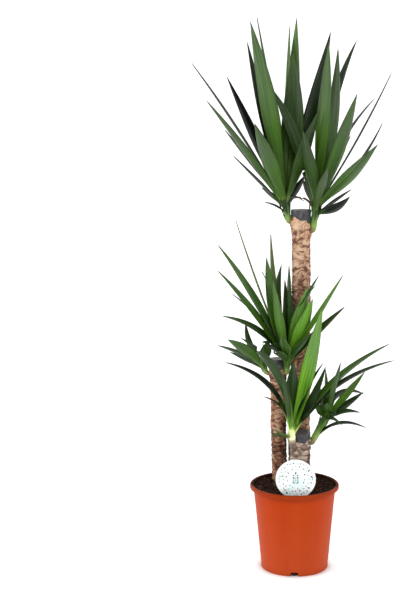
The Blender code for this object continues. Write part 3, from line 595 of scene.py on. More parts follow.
def leaf_look():
    """Green leaf: stored tones, paler base, fresh lower half and fine veins along the blade."""
    look = Look("leaf_green", roughness=0.40, Specular_IOR_Level=0.19)
    light, yellow, dry = look.value("light"), look.value("yellow"), look.value("dry")
    along, across, pale = look.value("along"), look.value("across"), look.value("pale")
    green = look.ramp(light, [(0.0, (0.004, 0.009, 0.004)), (0.28, (0.023, 0.053, 0.012)),
                              (0.6, (0.040, 0.088, 0.018)), (0.8, (0.048, 0.104, 0.023)),
                              (1.0, (0.080, 0.180, 0.034))])
    fresh = look.ramp(light, [(0.0, (0.004, 0.012, 0.003)), (0.28, (0.023, 0.066, 0.006)),
                              (0.6, (0.041, 0.115, 0.007)), (0.8, (0.048, 0.132, 0.009)),
                              (1.0, (0.105, 0.275, 0.016))])
    lime = look.ramp(light, [(0.0, (0.02, 0.05, 0.004)), (0.6, (0.065, 0.175, 0.006)),
                             (1.0, (0.15, 0.37, 0.022))])
    patches = look.grain(look.place((0.05, 0.010, 1.0), "blade"), 1.0, 3.0)
    young = look.ramp(along, [(0.0, 1.0), (0.38, 0.85), (0.66, 0.12)])
    young = look.math("MULTIPLY", young, look.range(patches, 0.3, 0.62, 0.55, 1.0))
    body = look.mix(young, green, fresh)
    body = look.mix(yellow, body, lime)
    veins = look.grain(look.place((1.1, 0.004, 1.0), "blade"), 1.0, 3.0, 0.6)
    body = look.shaded(body, veins, (0.3, 0.62), (0.7, 1.36))
    stripes = look.grain(look.place((0.26, 0.005, 1.0), "blade"), 1.0, 2.0)
    body = look.shaded(body, stripes, (0.34, 0.78), (0.66, 1.2))
    # painted shade: each blade is darker towards its base, less so where it is yellow
    shade = look.ramp(along, [(0.0, 0.30), (0.15, 0.45), (0.45, 0.92), (0.6, 1.0)])
    body = look.mix(look.range(yellow, 0.0, 0.8, 1.0, 0.25), body,
                    look.multiply(body, shade))
    middle = look.math("ABSOLUTE", across)
    for source, stops, most, colour in (
        (along, [(0.0, 1.0), (0.10, 0.85), (0.34, 0.0)], pale, (0.14, 0.34, 0.022)),
        (along, [(0.0, 1.0), (0.05, 0.7), (0.13, 0.0)], pale, (0.62, 0.74, 0.22)),
        (middle, [(0.0, 0.45), (0.08, 0.0)], 0.5, (0.09, 0.18, 0.04)),
        (middle, [(0.90, 0.0), (1.0, 0.55)], 0.6, (0.12, 0.15, 0.06)),
    ):
        share = look.math("MULTIPLY", look.ramp(source, stops), most)
        body = look.mix(share, body, colour)
    straw = look.ramp(look.grain(look.place((1, 0.2, 1), "blade"), 0.35, 3.0),
                      [(0.3, (0.05, 0.028, 0.012)), (0.7, (0.17, 0.11, 0.05))])
    tip = look.ramp(along, [(0.955, 0.0), (0.985, 0.85)])
    body = look.mix(look.math("MAXIMUM", dry, tip), body, straw)
    depth = look.range(young, 0.1, 0.6, look.value("depth"), 1.02)
    # painted light and shade: each head's brightness scales the colour of its leaves
    finish = {"Color": body, "Saturation": depth, "Value": look.value("painted_brightness")}
    look.feed("Roughness", look.range(patches, 0.3, 0.7, 0.30, 0.44))
    look.bump(veins, 0.35, 0.0006)
    return look.finished(look.node("ShaderNodeHueSaturation", finish).outputs["Color"])


def shoot_look():
    """Fleshy shoot: bark-brown at its foot, then cream or yellow-green, then green."""
    look = Look("shoot_flesh", roughness=0.42)
    along, pale = look.value("along"), look.value("pale")
    ribs = look.grain(look.place((1.0, 0.03, 1.0), "blade"), 1.0, 3.0)
    green = look.ramp(along, [(0.08, (0.12, 0.065, 0.036)), (0.16, (0.20, 0.17, 0.05)),
                              (0.26, (0.20, 0.33, 0.05)), (0.50, (0.045, 0.13, 0.016)),
                              (0.8, (0.022, 0.065, 0.010))])
    cream = look.ramp(along, [(0.31, (0.15, 0.10, 0.075)), (0.40, (0.42, 0.33, 0.18)),
                              (0.48, (0.97, 0.98, 0.60)), (0.70, (0.86, 0.94, 0.40)),
                              (0.90, (0.24, 0.42, 0.06))])
    body = look.mix(look.range(pale, 0.4, 1.0), green, cream)
    body = look.shaded(body, ribs, (0.3, 0.72), (0.7, 1.2))
    look.bump(ribs, 0.4, 0.0008)
    return look.finished(body)


def bark_look(name, ridge, mid, groove, patch):
    """Cane bark, coloured by its own relief and the painted shade stored with it, with patches and
    fine grain.
    """
    look = Look(name, roughness=0.82, Specular_IOR_Level=0.25)
    place = look.place()
    relief = look.value("relief")
    body = look.ramp(relief, [(0.10, groove), (0.42, mid), (0.72, ridge)])
    blotch = look.grain(place, 42.0, 5.0, 0.6)
    body = look.mix(look.range(blotch, 0.42, 0.62), body, look.multiply(body, patch))
    ash = look.grain(look.place((1, 1, 2.2)), 120.0, 4.0, 0.65, 0.4)
    body = look.mix(look.range(ash, 0.55, 0.72, 0.0, 0.45), body, ridge)
    fine = look.grain(place, 700.0, 3.0)
    body = look.shaded(body, fine, (0.25, 0.7), (0.75, 1.25))
    look.bump(look.math("ADD", fine, ash), 0.5, 0.0007)
    return look.finished(body)


def wax_look():
    """Dark sealing wax with a dusty bloom, small pits and rubbed brown spots."""
    look = Look("sealing_wax", roughness=0.35, Specular_IOR_Level=0.45)
    place = look.place()
    dust_and_painted_light = look.grain(place, 90.0, 5.0, 0.6)
    body = look.ramp(dust_and_painted_light, [(0.3, (0.012, 0.012, 0.015)), (0.54, (0.040, 0.039, 0.047)),
                            (0.68, (0.11, 0.095, 0.092)), (0.8, (0.20, 0.14, 0.10))])
    look.feed("Roughness", look.range(dust_and_painted_light, 0.3, 0.75, 0.30, 0.62))
    look.bump(look.grain(place, 230.0, 4.0, 0.6, 0.8), 0.8, 0.0016)
    return look.finished(body)


def pot_look():
    """Terracotta-coloured plastic: even, with faint flow marks and light scuffs."""
    look = Look("pot_plastic", roughness=0.38, Specular_IOR_Level=0.07)
    place = look.place()
    flow = look.grain(look.place((1, 1, 0.12)), 26.0, 3.0, 0.5)
    body = look.ramp(flow, [(0.3, (0.420, 0.038, 0.0024)), (0.7, (0.455, 0.048, 0.0036))])
    scuff = look.grain(look.place((1, 1, 3.0)), 160.0, 5.0, 0.7, 1.5)
    marks = look.range(scuff, 0.66, 0.78, 0.0, 0.16)
    body = look.mix(marks, body, (0.60, 0.20, 0.10))
    # painted shade: the band at the rim is painted darker
    body = look.mix(look.value("rim"), body, look.multiply(body, (0.74, 0.80, 1.0)))
    stain = look.math("ADD", look.value("inside"),
                      look.math("MULTIPLY", look.math("SUBTRACT", scuff, 0.5), 1.4))
    stain = look.range(stain, 0.42, 0.62)
    body = look.mix(stain, body, (0.030, 0.015, 0.009))
    # painted light: the wall is painted lighter and less red towards the bottom, for light from
    # the floor
    height = look.node("ShaderNodeSeparateXYZ", {0: place}).outputs["Z"]
    dust_and_painted_light = look.range(height, 0.0, 0.17, 0.22, 0.0)
    body = look.mix(dust_and_painted_light, body, (0.66, 0.135, 0.05))
    sheen = look.range(scuff, 0.35, 0.75, 0.34, 0.46)
    look.feed("Roughness", look.math("MAXIMUM", sheen, stain))
    facing = look.node("ShaderNodeLayerWeight").outputs["Facing"]
    look.feed("Specular IOR Level", look.range(facing, 0.5, 0.92, 0.07, 0.0))
    look.bump(look.grain(place, 900.0, 2.0), 0.08, 0.0004)
    return look.finished(body)


def soil_look():
    """Moist compost, almost black, with browner crumbs."""
    look = Look("compost", roughness=0.93, Specular_IOR_Level=0.12)
    place = look.place()
    crumb = look.grain(place, 180.0, 5.0, 0.65)
    body = look.ramp(crumb, [(0.3, (0.006, 0.003, 0.002)), (0.5, (0.024, 0.010, 0.006)),
                             (0.66, (0.065, 0.027, 0.015)), (0.8, (0.13, 0.060, 0.036))])
    look.bump(look.grain(place, 420.0, 4.0), 0.9, 0.0016)
    return look.finished(body)


def chip_look():
    """Bark chips and fibres in the compost."""
    look = Look("compost_chips", roughness=0.85, Specular_IOR_Level=0.2)
    tint = look.value("tint")
    body = look.ramp(tint, [(0.0, (0.010, 0.005, 0.003)), (0.5, (0.055, 0.021, 0.011)),
                            (0.85, (0.15, 0.062, 0.034)), (1.0, (0.26, 0.15, 0.09))])
    grain = look.grain(look.place(), 500.0, 3.0)
    body = look.shaded(body, grain, (0.3, 0.6), (0.7, 1.3))
    look.bump(grain, 0.6, 0.0008)
    return look.finished(body)


def label_look():
    """White label sheet, faintly washed with blue-green."""
    look = Look("label_sheet", roughness=0.34, Coat_Weight=0.2, Coat_Roughness=0.2)
    wash = look.grain(look.place((1, 0, 1)), 38.0, 2.0, 0.4)
    body = look.ramp(wash, [(0.45, (0.95, 0.96, 0.96)), (0.66, (0.80, 0.95, 0.94))])
    look.bump(look.grain(look.place(), 1200.0, 2.0), 0.05, 0.0003)
    return look.finished(body)


def print_look(name, colour):
    """Printing ink with a little unevenness."""
    look = Look(name, roughness=0.4)
    uneven = look.grain(look.place(), 900.0, 2.0)
    darker = tuple(0.7 * part for part in colour)
    return look.finished(look.ramp(uneven, [(0.3, darker), (0.7, colour)]))


def arc(centre, radius, start, end, steps):
    """Points of a round stretch of an outline, from one angle in degrees to another."""
    points = []
    for step in range(steps + 1):
        angle = math.radians(start + (end - start) * step / steps)
        points.append((centre[0] + radius * math.cos(angle),
                       centre[1] + radius * math.sin(angle)))
    return points


def pot_outer_radius(z):
    """The pot's outer wall at a height."""
    share = z / (POT_HEIGHT - RIM_UNDERSIDE)
    return POT_FOOT_RADIUS + (POT_NECK_RADIUS - POT_FOOT_RADIUS) * share


def pot_inner_radius(z):
    """The pot's inner wall at a height."""
    return pot_outer_radius(z) - POT_WALL


def pot_wall_points():
    """The outer wall from the foot's hem up to the rim, with its sunk panel."""
    low, high = HEM_TOP + 2.4, PANEL_TOP - 1.2
    points = [(POT_FOOT_RADIUS - HEM_ROUND, 0.0)]
    points += arc((POT_FOOT_RADIUS - 2.0, HEM_ROUND), HEM_ROUND, -80, 0, 5)
    for z, out in ((HEM_TOP, 0.15), (HEM_TOP + 1.0, -PANEL_SINK)):
        points.append((pot_outer_radius(z) + out, z))
    for step in range(PANEL_STEPS + 1):
        z = low + (high - low) * step / PANEL_STEPS
        points.append((pot_outer_radius(z) - PANEL_SINK, z))
    return points + [(pot_outer_radius(z), z) for z in (PANEL_TOP, 180.0)]


def pot_outline():
    """Half the pot's section, from the middle of its underside to the middle of its floor."""
    rim, top = POT_RIM_RADIUS, POT_HEIGHT
    under = top - RIM_UNDERSIDE
    outline = [(0.0, 0.0), (POT_PAD_RADIUS * 0.5, 0.0), (POT_PAD_RADIUS, 0.0),
               (POT_PAD_RADIUS + 1.0, POT_FLOOR_UNDER), (40.0, POT_FLOOR_UNDER),
               (POT_FOOT_RADIUS - 4.0, POT_FLOOR_UNDER), (POT_FOOT_RADIUS - 3.4, 0.0)]
    outline += pot_wall_points()
    outline += arc((POT_NECK_RADIUS + 1.6, under - 1.6), 1.6, 180, 90, 4)
    outline += arc((rim - RIM_SHEET - 1.0, under - 1.0), 1.0, 90, 0, 4)
    outline += [(rim - RIM_SHEET, top - RIM_DROP + 0.6)]
    outline += arc((rim - RIM_EDGE, top - RIM_DROP + RIM_EDGE), RIM_EDGE, 220, 360, 6)
    outline += [(rim - 0.15, top - 6.2), (rim - 0.1, top - 4.0)]
    outline += arc((rim - RIM_ROUND, top - RIM_ROUND), RIM_ROUND, 0, 90, 8)
    outline += [(POT_NECK_RADIUS + 4.3, top - 0.04), (POT_NECK_RADIUS + 2.9, top - 0.12),
                (POT_NECK_RADIUS + 1.5, top - 0.3)]
    outline += arc((POT_NECK_RADIUS + 1.0, top - 3.1), 2.6, 80, 170, 6)
    inner = [180.0, 150.0, 100.0, 50.0, POT_FLOOR_TOP]
    outline += [(pot_inner_radius(z), z) for z in inner]
    outline += [(30.0, POT_FLOOR_TOP), (0.0, POT_FLOOR_TOP)]
    return outline


def turned(outline, sides):
    """The points of an outline, in millimetres, turned about the upright axis."""
    angles = [math.tau * side / sides for side in range(sides)]
    return [(r * math.cos(angle) * MM, r * math.sin(angle) * MM, z * MM)
            for r, z in outline for angle in angles]


def notch_block(angle):
    """A block with an arched top that opens the foot of the pot."""
    half, high = NOTCH_WIDTH / 2, NOTCH_HEIGHT - NOTCH_ROUND
    outline = [(-half - NOTCH_FLARE, -1.0), (-half, 2.4)]
    outline += arc((-half + NOTCH_ROUND, high), NOTCH_ROUND, 180, 90, 5)
    outline += arc((half - NOTCH_ROUND, high), NOTCH_ROUND, 90, 0, 5)
    outline += [(half, 2.4), (half + NOTCH_FLARE, -1.0)]
    out = Vector((math.cos(angle), math.sin(angle), 0.0))
    across = Vector((-math.sin(angle), math.cos(angle), 0.0))
    verts = [(out * reach + across * x + Vector((0.0, 0.0, z))) * MM
             for reach in (POT_FOOT_RADIUS - NOTCH_DEPTH, POT_FOOT_RADIUS + 6.0)
             for x, z in outline]
    return add_piece("notch", verts, tube_faces(2, len(outline)), [], smooth=False)


def stain_share(place):
    """How much soil sticks: 1 on the inner wall, less on the rim, most at the sides and back."""
    reach = math.hypot(place.x, place.y)
    back = clamp((place.y - STAIN_FROM) / STAIN_RUN) * STAIN_MOST
    if reach > POT_RIM_RADIUS - 0.5:
        return back * clamp((place.z - POT_HEIGHT + 5.0) / 3.0)
    if place.z < POT_FLOOR_TOP:
        return 0.0
    if place.z < POT_HEIGHT - 3.0:
        return 1.0 if reach < pot_outer_radius(place.z) - 1.0 else 0.0
    return max(back, clamp((STAIN_REACH - reach) / STAIN_FADE + 0.5))


def make_pot():
    """The pot with its drain notches."""
    outline = pot_outline()
    faces = grid_faces(len(outline), POT_SIDES, True)
    pot = add_piece("pot_shell", turned(outline, POT_SIDES), faces, [pot_look()])
    face_out(pot.data, weld=True)
    cutters = [notch_block(math.tau * k / NOTCHES - math.pi / 2) for k in range(NOTCHES)]
    for cutter in cutters:
        boolean = pot.modifiers.new("notch", "BOOLEAN")
        boolean.operation = "DIFFERENCE"
        boolean.object = cutter
        boolean.solver = "EXACT"
    ready = pot.evaluated_get(bpy.context.evaluated_depsgraph_get())
    mesh = bpy.data.meshes.new_from_object(ready)
    pot.modifiers.clear()
    pot.data = mesh
    for cutter in cutters:
        bpy.data.objects.remove(cutter, do_unlink=True)
    mesh.shade_smooth()
    mesh.set_sharp_from_angle(angle=POT_SHARP)
    put_values(mesh, "inside", [stain_share(vertex.co / MM) for vertex in mesh.vertices])
    # the band at the rim, which the pot's material darkens as painted shade
    rim = (POT_HEIGHT - RIM_DROP - 1.0) * MM
    put_values(mesh, "rim", [float(vertex.co.z > rim) for vertex in mesh.vertices])
    stand_for(pot, "pot")


def soil_bank(x, y):
    """The share of the bank at each place: full at the wall, none where the label stands."""
    rise = (np.hypot(x, y) - SOIL_BANK_FROM) / (POT_NECK_RADIUS - SOIL_BANK_FROM)
    rise = np.clip(rise, 0.0, 1.0)
    back = np.clip((y - SOIL_BANK_FRONT) / SOIL_BANK_RUN, 0.0, 1.0)
    return back * rise * rise * (3 - 2 * rise)


def soil_height(x, y):
    """The ground's height, as in the solids, with x and y as arrays in millimetres."""
    turn = math.tau / SOIL_LUMP_LENGTH
    lumps = (np.sin(x * turn + 1.3) * np.cos(y * turn * 0.9 - 0.4)
             + 0.6 * np.sin((x * 1.8 - y * 1.5) * turn + 2.0))
    return SOIL_LEVEL + SOIL_BANK * soil_bank(x, y) + SOIL_LUMP * lumps


def ground(x, y):
    """The ground with its crumbs."""
    flat = np.stack([x, y, np.zeros_like(x)], axis=-1)
    rough = (1.5 * noise(flat, 9.0, 21) + 1.1 * np.abs(noise(flat, 4.6, 22))
             + 0.7 * noise(flat, 2.3, 23) - 0.4)
    return soil_height(x, y) + rough


def make_soil():
    """The plug of compost, with a crumbly top."""
    edge = pot_inner_radius(SOIL_LEVEL) - SOIL_GAP
    shares = np.linspace(0.0, 1.0, SOIL_RINGS)[1:]
    angles = ring_angles(SOIL_SIDES)
    x = np.outer(shares, np.cos(angles)) * edge
    y = np.outer(shares, np.sin(angles)) * edge
    bank = soil_bank(x, y)
    grown = 1 + np.maximum(0.0, shares - SOIL_EDGE_FROM)[:, None] * SOIL_EDGE_GROWTH * bank
    top = np.stack([x * grown, y * grown, ground(x, y)], axis=-1).reshape(-1, 3)
    floor_z = POT_FLOOR_TOP + SOIL_GAP
    low = ring_places(angles, pot_inner_radius(floor_z) - SOIL_GAP, floor_z)
    centre_z = float(ground(np.zeros(1), np.zeros(1))[0])
    middle = np.array([[0.0, 0.0, centre_z], [0.0, 0.0, floor_z]])
    verts = np.concatenate([top, low, middle]) * MM
    faces = grid_faces(SOIL_RINGS, SOIL_SIDES, True)
    last, hub, under = len(top), len(verts) - 2, len(verts) - 1
    for side in range(SOIL_SIDES):
        turn = (side + 1) % SOIL_SIDES
        faces += [(hub, turn, side), (under, last + side, last + turn)]
    soil = add_piece("compost", verts, faces, [soil_look()])
    stand_for(soil, "soil")


def clear_of_canes(x, y, margin):
    """Whether a place on the ground is outside every cane and the label's stake."""
    for cane in CANES.values():
        middle = cane_middle(cane, SOIL_LEVEL)
        if math.hypot(x - middle[0], y - middle[1]) < cane["radius"] + margin:
            return False
    return not (abs(x - LABEL_CENTRE[0]) < STAKE_WIDTH / 2 + margin
                and abs(y - LABEL_CENTRE[1]) < margin + 1.0)


def lump(size, chance):
    """A crumb: a small rounded block, knocked out of shape."""
    shaped = bmesh.new()
    bmesh.ops.create_icosphere(shaped, subdivisions=1, radius=1.0)
    stretch = Vector(chance.uniform(0.6, 1.25) for _ in range(3))
    points = []
    for vertex in shaped.verts:
        push = chance.uniform(0.72, 1.12)
        points.append(Vector(a * b for a, b in zip(vertex.co, stretch)) * push * size)
    faces = [tuple(v.index for v in face.verts) for face in shaped.faces]
    shaped.free()
    return points, faces


def chip(length, width, chance):
    """A sliver of bark or a fibre, lying nearly flat."""
    thick = width * chance.uniform(0.35, 0.6)
    points = []
    for end, share in ((-0.5, 0.55), (-0.15, 1.0), (0.25, 0.9), (0.5, 0.35)):
        for side, rise in ((-1, 0), (0, 1), (1, 0), (0, -1)):
            points.append(Vector((end * length, side * width * share * 0.5,
                                  rise * thick * share * 0.5)))
    return points, tube_faces(4, 4)


def make_crumbs():
    """Loose crumbs, chips and fibres half sunk in the compost."""
    chance = random.Random(RANDOM_SEED)
    reach = pot_inner_radius(SOIL_LEVEL)
    verts, faces, tints, made = [], [], [], 0
    while made < CRUMBS:
        angle, r = chance.uniform(0, math.tau), reach * math.sqrt(chance.random())
        size = chance.choice(CRUMB_SIZES)
        x, y = r * math.cos(angle), r * math.sin(angle)
        if r + size * CRUMB_REACH > reach or not clear_of_canes(x, y, size):
            continue
        if made % 3 == 2:
            points, sides = chip(size * chance.uniform(2.0, 4.2), size * 0.9, chance)
        else:
            points, sides = lump(size, chance)
        turn = chance.uniform(0, math.tau)
        tilt = chance.uniform(-CRUMB_TILT, CRUMB_TILT)
        z = float(ground(np.array([x]), np.array([y]))[0]) + size * CRUMB_LIFT
        start = len(verts)
        tint = clamp(chance.gauss(*CRUMB_TINT))
        for point in points:
            px = point.x * math.cos(turn) - point.y * math.sin(turn)
            py = point.x * math.sin(turn) + point.y * math.cos(turn)
            verts.append(Vector((x + px, y + py, z + point.z + px * tilt)) * MM)
            tints.append(tint)
        faces += [tuple(start + index for index in side) for side in sides]
        made += 1
    crumbs = add_piece("compost_crumbs", verts, faces, [chip_look()], smooth=False)
    put_values(crumbs.data, "tint", tints)
    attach(crumbs, BODY)


def cane_middle(cane, z):
    """Where the middle of a cane is at a height, in millimetres."""
    foot_x, foot_y = cane["foot"]
    top_x, top_y, top_z = cane["top"]
    share = (min(z, top_z - CANE_PLAIN) - CANE_END) / (top_z - CANE_END)
    bend = CANE_BEND * math.sin(share * math.tau * 1.5)
    return foot_x + (top_x - foot_x) * share + bend, foot_y + (top_y - foot_y) * share


def bands(place, z, spacing, sway, seed):
    """Rows of leaf scars round a cane: broad swaying ridges with narrower grooves between."""
    bent = z + sway * noise(place, 24.0, seed) + 0.5 * sway * noise(place, 11.0, seed + 1)
    return np.abs(np.sin(math.pi * bent / spacing)) ** 0.75


def folds(place, width, height, seed):
    """Noise in flat cells, wider than tall, from -1 to 1."""
    return noise(place * np.array([height / width, height / width, 1.0]), height, seed)


def wrinkles(place, width, height, seed):
    """Flat rounded folds with grooves between them, round about 0."""
    return np.clip(np.abs(folds(place, width, height, seed)) * 2.8, 0.0, 1.0) ** 0.7 - 0.72


def bark_relief(cane, angle, z, seed):
    """How far the bark stands out, in millimetres, and how light it is, from 0 to 1."""
    radius = cane["radius"]
    place = ring_places(angle, radius, z)
    line = ring_places(angle, 0.0, z)
    slant = (place[..., 0] * noise(line, 30.0, seed) + place[..., 1] * noise(line, 30.0, seed + 1))
    bent = place.copy()
    bent[..., 2] += (0.4 * slant + 3.0 * noise(place, 13.0, seed + 2)
                     + 1.5 * noise(place, 6.0, seed + 3))
    grooves = np.exp(-(folds(bent, 22.0, 8.0, seed + 14) / 0.16) ** 2)
    grain = noise(place * np.array([1.0, 1.0, 2.0]), 2.6, seed + 8)
    broad = noise(place, 30.0, seed + 9)
    relief, light = np.zeros_like(z), np.full_like(z, BARK_LIGHT)
    # Each layer of the bark, how far it stands out, and how much lighter it is. Raised parts
    # lighter and grooves darker are partly the bark's own colour and partly painted shade
    for layer, rise, lighter in (
        (bands(place, z, 13.0, 12.0, seed + 20) - 0.62, 0.7, 0.12),
        (folds(bent, 15.0, 6.5, seed + 4), 1.1, 0.28),
        (wrinkles(bent, 16.5, 7.2, seed + 16), 0.9, 0.40),
        (folds(bent, 8.0, 3.6, seed + 6), 0.6, 0.20),
        (wrinkles(bent, 8.8, 4.0, seed + 18), 0.6, 0.32),
        (grooves, -0.8, -0.28),
        (grain, 0.35, 0.12),
        (broad, 0.6, 0.10),
    ):
        relief += rise * layer
        light += lighter * layer
    # painted shade: the bark is painted darker below the height in fade, for the shade of the
    # heads above
    fade_top, fade_run, fade = cane["fade"]
    light -= fade * np.clip((fade_top - z) / fade_run, 0.0, 1.0)
    # painted shade: the left and right edges of the front are painted darker, by the shares and
    # drops in darker
    front = np.clip((0.35 - np.sin(angle)) / 0.4, 0.0, 1.0)
    out = np.cos(angle) + 0.05 * noise(place, 9.0, seed + 24)
    for side, (start, drop) in zip((-out, out), cane["darker"]):
        light -= drop * front * np.clip((side - start) / EDGE_RUN, 0.0, 1.0)
    light -= DAMP_DROP * np.clip((DAMP_TO + 4.0 * broad - z) / DAMP_RUN, 0.0, 1.0)
    above = z - cane["top"][2] + cane["band"] + PALE_BELOW
    light += PALE_RISE * np.exp(-(above / PALE_REACH) ** 2)
    for eye_turn, eye_z, half_width, half_height in cane["eyes"]:
        off = turned_off(angle, math.radians(eye_turn))
        reach = np.hypot(off * radius / half_width, (z - eye_z) / half_height)
        reach = reach + 0.30 * noise(place, 6.0, seed + 12)
        near = np.exp(-(reach / SCAR_REACH) ** 4)
        swirl = np.cos(reach * math.tau * SCAR_RINGS)
        relief = relief * (1 - near) + near * (1.1 * swirl + 0.2)
        light = light * (1 - near) + near * (0.46 + 0.26 * swirl + 0.2 * grain)
    return relief, np.clip(light, 0.0, 1.0)


def collars(name, angle, z, cane):
    """The bark's swellings round the feet of the shoots."""
    swell = np.zeros_like(z)
    for head in HEADS.values():
        if head["cane"] == name:
            x, y, foot_z = head["foot"]
            middle = cane_middle(cane, foot_z)
            off = turned_off(angle, math.atan2(y - middle[1], x - middle[0]))
            reach = np.hypot(off * cane["radius"], (z - foot_z) * COLLAR_SQUEEZE)
            swell += COLLAR_RISE * np.exp(-(reach / COLLAR_REACH) ** 2)
    return swell


def make_cane(name, material, seed):
    """A cane, with its ring scars, folds and cracks as real relief."""
    cane = CANES[name]
    sides, rows, top = cane["sides"], cane["rows"], cane["top"][2]
    heights, turns = np.linspace(BARK_FROM, top, rows), ring_angles(sides)
    angle, z = np.meshgrid(turns, heights)
    relief, light = bark_relief(cane, angle, z, seed)
    calm = np.clip((top - CALM_TO - z) / CALM_RUN, 0.0, 1.0)
    radius = (cane["radius"] + BARK_LIFT + collars(name, angle, z, cane)
              + relief * (CALM_SHARE + (1 - CALM_SHARE) * calm))
    middles = np.array([cane_middle(cane, height) for height in heights])
    stem = ring_places(angle, radius, z, (middles[:, :1], middles[:, 1:]))
    foot = ring_places(turns, cane["radius"] - FOOT_SLIMMER, CANE_END, cane_middle(cane, CANE_END))
    verts = np.concatenate([foot, stem.reshape(-1, 3)]) * MM
    thing = add_piece(name + "_bark", verts, tube_faces(rows + 1, sides), [material])
    lights = np.concatenate([np.full(sides, FOOT_LIGHT), light.ravel()])
    # the bark's lightness, with its painted shade, is stored as relief
    put_values(thing.data, "relief", lights)
    stand_for(thing, name)


def make_wax(name, material, seed):
    """A wax seal: a lumpy cap with thick runs at its lower edge."""
    seal = WAX_SEALS[name]
    cane = CANES[seal["cane"]]
    top, bore = cane["top"][2], cane["radius"] + WAX_GAP
    middle, turns = cane_middle(cane, top), ring_angles(WAX_SIDES)
    around = ring_places(turns, 1.0, 0.0)
    drop = (seal["band"] + seal["slant"] * np.cos(turns) + seal["wave"] * np.sin(3 * turns)
            + 2.2 * noise(around, 0.55, seed) + 1.0 * noise(around, 0.2, seed + 1))
    for turn, length, half_width in seal["drips"]:
        off = turned_off(turns, math.radians(turn))
        drop += length * np.exp(-np.abs(off / math.radians(half_width)) ** 2.5)
    inside = ((bore * 0.2, top + 0.3), (bore, top + 0.3), (bore, top - drop))
    rings = [ring_places(turns, radius, z, middle) for radius, z in inside]
    for row in range(WAX_ROWS + 1):
        share = row / WAX_ROWS
        z = top - drop * (1 - share)
        place = ring_places(turns, bore, z)
        lumps = 0.55 * noise(place, 6.0, seed + 2) + 0.35 * noise(place, 2.8, seed + 3)
        run = np.exp(-((share - 0.12) / 0.12) ** 2) * 0.5
        skin = np.clip(share / 0.06, 0.0, 1.0) ** 0.5 * (WAX_SKIN + lumps + run)
        rings.append(ring_places(turns, bore + skin, z, middle))
    for share, rise in WAX_LID:
        radius = (bore + WAX_LEDGE) * share
        place = ring_places(turns, radius, top)
        z = top + rise + 0.28 * noise(place, 5.0, seed + 4) * min(1.0, 2 - 2 * share)
        rings.append(ring_places(turns, radius, z, middle))
    faces = tube_faces(len(rings), WAX_SIDES)
    thing = add_piece(name + "_seal", np.concatenate(rings) * MM, faces, [material])
    stand_for(thing, name)


def label_outline():
    """The disc with its stake, in millimetres from the disc's middle."""
    half = STAKE_WIDTH / 2
    shoulder = math.degrees(math.asin(half / LABEL_RADIUS))
    points = arc((0.0, 0.0), LABEL_RADIUS, -90 + shoulder, 270 - shoulder, 96)
    centre_z = LABEL_CENTRE[2]
    points += [(-half, STAKE_END + STAKE_POINT - centre_z), (0.0, STAKE_END - centre_z),
               (half, STAKE_END + STAKE_POINT - centre_z)]
    return points


def motif(centre, length, width, turn):
    """A small pointed leaf, as an outline on the label's face."""
    steps = 7
    upper = [(length * (k / steps - 0.5), width * math.sin(math.pi * k / steps) * 0.5)
             for k in range(steps + 1)]
    lower = [(x, -y) for x, y in reversed(upper[1:-1])]
    c, s = math.cos(turn), math.sin(turn)
    return [(centre[0] + x * c - y * s, centre[1] + x * s + y * c) for x, y in upper + lower]


def label_marks():
    """The printed design: two loose rings of leaves, and one upright twig."""
    marks = []
    chance = random.Random(RANDOM_SEED)
    for count, reach, length in PRINT_RINGS:
        for k in range(count):
            angle = math.tau * (k + chance.uniform(-0.25, 0.25)) / count
            away = LABEL_RADIUS * (reach + chance.uniform(-0.05, 0.05))
            centre = (away * math.cos(angle), away * math.sin(angle))
            size = length * chance.uniform(0.75, 1.35)
            marks.append((motif(centre, size, size * chance.uniform(0.35, 0.6),
                                chance.uniform(0, math.tau)), chance.randrange(3)))
    for k in range(4):
        for side in (-1, 1):
            leaf = motif((side * 4.6, -8.0 + 5.6 * k), 8.4 - 0.9 * k, 3.8,
                         math.pi / 2 - side * 0.85)
            marks.append((leaf, (k + 1) % 3))
    marks.append((motif((0.0, 14.5), 8.0, 3.8, math.pi / 2), 0))
    marks.append((motif((0.0, -1.0), 24.0, 1.1, math.pi / 2), 0))
    return marks


def make_label():
    """The round label on its stake, with its printed design as a thin layer of ink."""
    centre = Vector(LABEL_CENTRE)
    outline = label_outline()
    layers = ((0.985, -0.5), (1.0, -0.36), (1.0, 0.36), (0.985, 0.5))
    verts = [(centre + Vector((x * grow, depth * LABEL_SHEET, z * grow))) * MM
             for grow, depth in layers for x, z in outline]
    faces = tube_faces(len(layers), len(outline))
    label = add_piece("label_card", verts, faces, [label_look()], smooth=False)
    stand_for(label, "plant_label")
    verts, faces, tints = [], [], []
    face_y = centre.y - LABEL_SHEET / 2
    for points, tint in label_marks():
        start, n = len(verts), len(points)
        for y in (face_y + INK_SINK, face_y - INK_RISE):
            verts += [Vector((centre.x + x, y, centre.z + z)) * MM for x, z in points]
        faces += [tuple(start + i for i in face) for face in tube_faces(2, n)]
        tints += [tint] * (n + 2)
    inks = [print_look(name, colour) for name, colour in INKS.items()]
    ink = add_piece("label_print", verts, faces, inks, smooth=False)
    for polygon, tint in zip(ink.data.polygons, tints):
        polygon.material_index = tint
    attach(ink, BODY)


def shoot_line(head):
    """The middle of a shoot, from its socket in the cane to the bud."""
    foot, heart = vec(head["foot"]), vec(head["heart"])
    cane = CANES[head["cane"]]
    middle = vec((*cane_middle(cane, head["foot"][2]), head["foot"][2]))
    out = (foot - middle).normalized()
    rise = (heart - foot).normalized()
    first = (out + rise * SHOOT_RISE).normalized()
    knee = foot + first * SHOOT_STRAIGHT * MM
    up = (heart - knee).normalized()
    bud = heart + (up + UP).normalized() * BUD_LENGTH * MM
    return foot - first * SOCKET_DEPTH * MM, foot, knee, heart, bud


